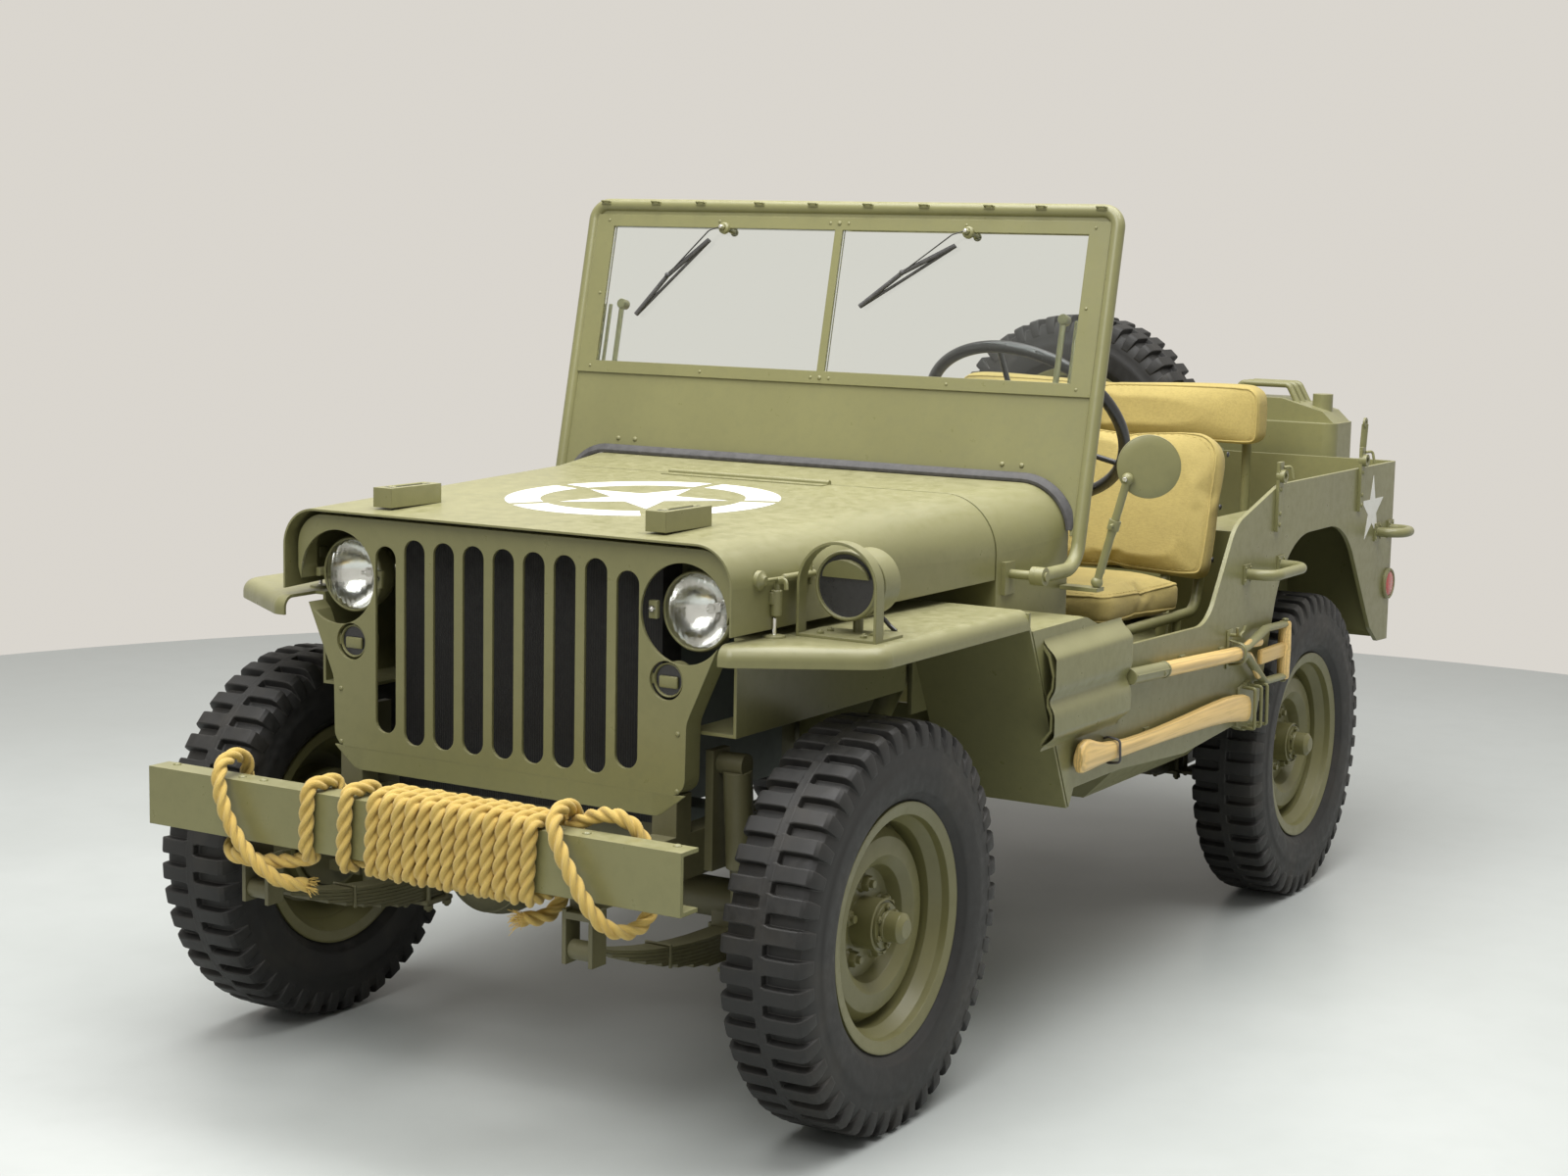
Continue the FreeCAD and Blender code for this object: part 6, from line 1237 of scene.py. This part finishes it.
def leaf_springs(paint_material, dark):
    """Leaf packs with clips, U-bolts and rolled eyes."""
    piece = Piece("leaf_packs", "chassis", paint_material, dark)
    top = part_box("leaf_springs")[1][2] * 1000 - 71.7
    width = LEFT * LEAF_HALF_WIDTH
    for x, half, shelf in ((0, 460, (-22, 96)), (-WHEELBASE, 505, (-96, 22))):
        for way in (1, -1):
            y = SPRING_Y * way
            for leaf in range(LEAVES):
                rings = []
                for k in range(17):
                    along = half * (1 - LEAF_STEP * leaf) * (k / 8 - 1)
                    upper = at(x + along, y, top + spring_rise(abs(along) / half)
                               - LEAF_PITCH * leaf)
                    lower = upper - UP * LEAF_THICK / 1000
                    rings.append(piece.ring((upper + width, upper - width, lower - width,
                                             lower + width)))
                piece.bar(rings)
            for end in (1, -1):
                eye = at(x + half * end, y - 22.25, top + 55)
                piece.lathe([(0, 10), (0, 17), (44.5, 17), (44.5, 10)], eye, LEFT, 0, 24, True)
                piece.rod(eye - LEFT * 0.004, eye + LEFT * 0.0485, 9.6, 0, 14, 1)
                clip, z = x + half * CLIP_SHARE * end, top + spring_rise(CLIP_SHARE)
                piece.tube([at(clip, y + dy, z + dz) for dy, dz in
                            ((-25, -36), (-25, 3), (25, 3), (25, -36))], 3.6, 0, 6)
            piece.block(at(x - 40, y - 34, top - 63), at(x + 40, y + 34, top - 54), 0, 0.002)
            piece.block_on(way, (x + shelf[0], SPRING_Y + 30, top - 63),
                           (x + shelf[1], 446, top - 54), 0, 0.002)
            for bolt_x in (x - 28, x + 28):
                for bolt_y in (y - 28, y + 28):
                    piece.rod(at(bolt_x, bolt_y, top - 76), at(bolt_x, bolt_y, top + 4),
                              5, 0, 10, 1)
                    piece.nut(at(bolt_x, bolt_y, top - 63), -UP, 17, 9)
    piece.done(("leaf_springs",))


# ---------------------------------------------------------------- small fittings

MIRROR, MIRROR_YAW, MIRROR_CLAMP = (-837, 767, 1112), radians(25), (-807, 711, 996)
DASH_X = -824.2
GAUGES = ((0, 985, 41), (-92, 1008, 27), (92, 1008, 27), (-92, 944, 27), (92, 944, 27))
KNOBS = ((200, 1010), (200, 950), (250, 980), (-180, 930), (-210, 930))
APRON = ((388, 594), (384, 590), (342, 556), (330, 552))


def tub_rivets(piece, way):
    """Rivets, bow clamps and bolts of one side of the tub and the front."""
    outward = LEFT * way
    for x, z, reach in ((-1538, 825, 14), (-1748, 825, 14), (-2430, 841, 15), (-2530, 841, 15)):
        for dx in (-reach, reach):
            for dz in (-reach, reach):
                piece.dome(at(x + dx, 716 * way, z + dz), outward, 4, 2.4)
    for x in (-1712, -2280):
        for z in (920, 945, 1000):
            piece.dome(at(x, 720 * way, z), outward, 6, 3.4)
        piece.wire([(x, 724 * way, 1050), (x - 14, 736 * way, 1052), (x - 14, 742 * way, 1024)],
                   8, 3.5)
    piece.tube([at(-2286, 714 * way, 1062), at(-2282, 718 * way, 1118)], 9, 0, 10, flat=0.35)
    piece.lathe([(0, 5), (0, 12), (5, 12), (5, 5)], at(-2281, 716 * way, 1122), outward, 0, 24,
                True)
    for x, y in ((486, 322), (486, 372), (474, 200), (474, 540)):
        piece.dome(at(x, y * way, 577.8), UP, 8, 4)
    for z in (600, 700):
        piece.dome(at(222, 372 * way, z), AHEAD, 5, 2.6)
    post = at(128, 503 * way, 868)
    piece.lathe([(0, 20), (4, 19), (6, 9), (6, 0)], post, UP, 0, 24)
    piece.rod(post + UP * 0.004, post + UP * 0.034, 4, 2, 12)
    piece.wire([(60, 640 * way, 880), (60, 640 * way, 870)], 5, 3, 0, 6)


def mirror(piece):
    """The mirror's shell, glass and rim, and the clamp and sleeve on its arm."""
    collar, arm = at(*MIRROR_CLAMP), Vector((0, 57, 208)).normalized()
    piece.lathe([(-10, 8), (-10, 12), (10, 12), (10, 8)], collar, arm, 0, 24, True)
    piece.rod(collar, collar + Vector((0.024, 0.004, 0)), 3.4, 0, 10)
    piece.lathe([(0, 8.6), (70, 8.2), (95, 9.4)], collar - arm * 0.100, arm, 0, 20)
    facing, disc = Vector((cos(MIRROR_YAW), sin(MIRROR_YAW), 0)), at(*MIRROR)
    piece.lathe([(6.6, 61.5), (8.2, 58), (9.6, 40), (10.4, 18), (10.6, 0)], disc, facing, 0, 48)
    piece.lathe([(6.8, 56), (7.6, 56), (7.6, 0)], disc, -facing, 3, 48)
    piece.lathe([(6.6, 56), (9.6, 57.5), (9.6, 61), (6.8, 62)], disc, -facing, 0, 48)
    piece.nut(at(-796, 736, 1088), AHEAD, 9, 5, 2)


def dash(piece):
    """Blank gauges, knobs and data plates."""
    for y, z, radius in GAUGES:
        face = at(DASH_X, y, z)
        piece.lathe([(0, radius), (5, radius + 3), (7, radius + 1), (6, radius - 2),
                     (3, radius - 3)], face, -AHEAD, 0, 36)
        piece.lathe([(2.8, radius - 2.6), (2.6, 0)], face, -AHEAD, 1, 36)
        piece.rod(face - AHEAD * 0.003, face - AHEAD * 0.0045, 3.2, 2, 10, 0.3)
        needle = face - AHEAD * 0.0042
        piece.tube([needle, needle + (LEFT + UP) * radius * 0.0005], 0.9, 2, 5)
    for y, z in KNOBS:
        piece.rod(at(-824, y, z), at(-842, y, z), 3, 2, 10, 0.6)
        piece.lathe([(0, 0), (0, 7), (4, 10), (10, 9), (12, 0)], at(-840, y, z), -AHEAD, 1, 18)
    for y in (-300, -400, -500):
        piece.block(at(-827, y - 38, 950), at(-824, y + 38, 1006), 1, 0.0008)
        for dy in (-32, 32):
            for z in (956, 1000):
                piece.dome(at(-827, y + dy, z), -AHEAD, 2.4, 1.4)


def body_fittings(paint_material, mirror_glass, dark, steel):
    """Small things on the tub, the mirror, the dash, the jerrycan's ribs and the front apron."""
    piece = Piece("body_small_fittings", "chassis", paint_material, dark, steel, mirror_glass)
    for way in (1, -1):
        tub_rivets(piece, way)
    mirror(piece)
    dash(piece)
    can_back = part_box("jerrycan")[0][0]
    for way in (1, -1):
        middle, reach = Vector((can_back + 0.001, 0.352, 0.936)), Vector((0, 0.118, 0.128 * way))
        piece.tube([middle - reach, middle + reach], 7)
    piece.plate([at(216, y, z) for y, z in APRON] + [at(216, -y, z) for y, z in APRON[::-1]],
                0.006)
    piece.done()


def hood_fittings(paint_material, dark):
    """The catches and lifting struts on both sides, and thin dark sheets on the hood blocks' tops,
    painted shade standing for their recesses.
    """
    hood = Piece("hood_fittings", "hood", paint_material, dark)
    top_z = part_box("hood_blocks")[1][2] * 1000
    for way in (1, -1):
        front, middle, rear = [at(x, (499 + (245 - x) * 0.0834) * way, 969)
                               for x in (168, 112, 22)]
        hood.lathe([(-12, 17), (-4, 17), (-2, 12), (4, 7), (4, 0)], front, LEFT * way, 0, 24)
        hood.rod(front, middle, 3.6, 0, 12)
        hood.rod(middle, rear, 6.5, 0, 20, 1.4)
        hood.rod(rear + Vector((0.012, 0, -0.018)), rear + Vector((0.012, 0, 0.030)), 3, 0, 10)
        hood.block(rear + Vector((-0.002, -0.010 * way - 0.003, -0.012)),
                   rear + Vector((0.012, 0.003 - 0.004 * way, 0.012)), 0, 0.001)
        foot, top = at(128, 506 * way, 905), at(128, 507 * way, 950)
        hood.rod(foot, top, 9.5, 0, 20, 1.5)
        hood.tube(bent([top] + [top + Vector(step) for step in (
            (0, 0, 0.014), (0.004, 0.020 * way, 0.018), (0.006, 0.022 * way, 0.002))], 10),
            6, 0, 10, flat=0.6)
        hood.block_on(way, (116, 494, 925), (140, 507, 946), 0, 0.002)
        y = 300 * way
        # a thin dark sheet laid on the block's top: painted shade standing for a recess
        hood.block(at(62, y - 9, top_z - 1), at(174, y + 9, top_z + 0.4), 1, 0.0004)
        hood.rod(at(80, y + 3, top_z + 1), at(165, y + 3, top_z + 1), 2.2, 0, 8, 0.5)
        for x in (74, 162):
            hood.dome(at(x, y, top_z), UP, 8, 2.4)
    hood.done()


def seat_snaps(dark):
    """Press studs down both edges of the front seats' backs."""
    for body, y in (("chassis", SEAT_Y), ("passenger_seat", -SEAT_Y)):
        stud = Piece(f"seat_snaps_{body}", body, dark)
        for way in (1, -1):
            for up in (-120, 0, 120):
                stud.dome(at(SEAT_BACK_X - up * sin(SEAT_BACK_LEAN) - 2, y + 232 * way,
                             SEAT_BACK_Z + up * cos(SEAT_BACK_LEAN)), LEFT * way, 6.5, 3.4)
        stud.done()


# ---------------------------------------------------------------- stage

FLOOR_RADIUS, FLOOR_SIDES = 4.6, 128
ROOM_LIGHT, ROOM_SHOWN = ((1.0, 0.99, 0.97), 0.31), ((0.70, 0.67, 0.62), 1.0)
# place, size and watts of each lamp, all aimed at the car's middle
ROOM_LAMPS = {"Ceiling": ((0.6, 0.4, 4.6), (5.5, 4.0), 385),
              "Front": ((4.6, 0.6, 4.2), (3.0, 2.4), 125)}
LAMP_AIM = Vector((0, 0, 0.6))


def floor():
    g = Graph("floor_grey")
    broad, fine = g.noise(0.7, 5), g.noise(9, 4, 0.6)
    base = g.mix(g.vary(broad), (0.46, 0.485, 0.465), (0.53, 0.55, 0.53))
    base = g.patch(base, fine, 0.45, 0.7, 0.12, (0.40, 0.42, 0.40))
    g.finish(base, g.vary(broad, 0.3, 0.5), Specular_IOR_Level=0.4)
    data = bpy.data.meshes.new("floor")
    rim = circle(FLOOR_RADIUS, steps=FLOOR_SIDES, whole=True)
    data.from_pydata([(x, y, 0) for x, y in rim], [], [tuple(range(FLOOR_SIDES))])
    data.materials.append(g.material)
    new_object("floor", data)


def room():
    """A world that lights the car softly and shows a paler wall."""
    world = bpy.data.worlds.new("Room")
    SCENE.world = world
    world.use_nodes = True
    tree = world.node_tree
    tree.nodes.remove(tree.nodes["Background"])
    lit, shown = (add_node(tree, "Background", {"Color": colour, "Strength": strength}).outputs[0]
                  for colour, strength in (ROOM_LIGHT, ROOM_SHOWN))
    path = add_node(tree, "LightPath", {}).outputs
    seen = path["Is Camera Ray"]
    for kind in ("Is Glossy Ray", "Is Transmission Ray"):
        seen = add_node(tree, "Math", {0: seen, 1: path[kind]}, operation="MAXIMUM").outputs[0]
    blend = add_node(tree, "MixShader", {0: seen, 1: lit, 2: shown})
    tree.links.new(blend.outputs[0], tree.nodes["World Output"].inputs["Surface"])


def stage():
    """A pale floor that ends behind the car, a pale room around it and soft lamps above."""
    floor()
    room()
    for name, (place, size, power) in ROOM_LAMPS.items():
        data = bpy.data.lights.new(name, "AREA")
        data.shape = "RECTANGLE"
        data.size, data.size_y = size
        data.energy = power
        lamp = new_object(name, data)
        lamp.location = place
        lamp.rotation_euler = (LAMP_AIM - Vector(place)).to_track_quat("-Z", "Y").to_euler()


# ---------------------------------------------------------------- build


def main():
    aim_camera()
    olive = paint("body_olive", (0.198, 0.191, 0.082))
    olive_dull = paint("chassis_olive", (0.105, 0.098, 0.046), rough=0.5, dust=0.15, wear=0.2)
    olive_wheel = paint("wheel_olive", (0.155, 0.145, 0.056), rough=0.38, dust=0.12)
    black = rubber("tyre_black", (0.0165, 0.0162, 0.0152))
    khaki = canvas("khaki_canvas", (0.47, 0.37, 0.13))
    manila = rope_fibre("manila", (0.62, 0.44, 0.12))
    ash = wood("ash_wood", (0.78, 0.54, 0.20))
    lamp = lens("lamp_lens")
    bakelite = plastic("black_bakelite", (0.018, 0.018, 0.018))
    by_slot = {"body_paint": olive, "chassis_paint": olive_dull, "wheel_paint": olive_wheel,
               "tyre_rubber": black, "canvas": khaki, "rope_fibre": manila, "tool_wood": ash,
               "block_wood": olive, "window_glass": glass("window_glass"), "lamp_glass": lamp,
               "wheel_rim_black": bakelite, "core_black": core_mesh("radiator_core"),
               "engine_grey": paint("engine_grey", (0.10, 0.115, 0.10), rough=0.6, dust=0.1),
               "exhaust_steel": metal("exhaust_rust", (0.16, 0.115, 0.085), 0.6)}
    for entry in frame["record"]["subparts"]:
        data = frame["nodes"][entry["node"]].data
        data.materials.clear()
        data.materials.append(by_slot[entry["material_slot"]])
    rope(manila)
    tyres(black)
    wheel_fittings(olive_wheel, bakelite)
    cushions(khaki)
    chrome = metal("bright_plate", (0.80, 0.80, 0.78), 0.16, (0.55, 0.54, 0.50))
    silvered = metal("mirror_glass", (0.86, 0.88, 0.88), 0.10, (0.72, 0.74, 0.74))
    dull_black = rubber("seal_black", (0.07, 0.068, 0.068))
    markings(stencil_white("stencil_white"))
    lamps(olive, chrome, lamp, bakelite, reflector_red("reflex_red"))
    blackout_lamp(olive, bakelite)
    windshield_details(olive, dull_black, chrome)
    cowl_seal(dull_black)
    tools(olive, ash, dull_black)
    blade_pocket(olive)
    leaf_springs(olive_dull, bakelite)
    body_fittings(olive, silvered, bakelite, chrome)
    hood_fittings(olive, bakelite)
    seat_snaps(bakelite)
    stage()


main()
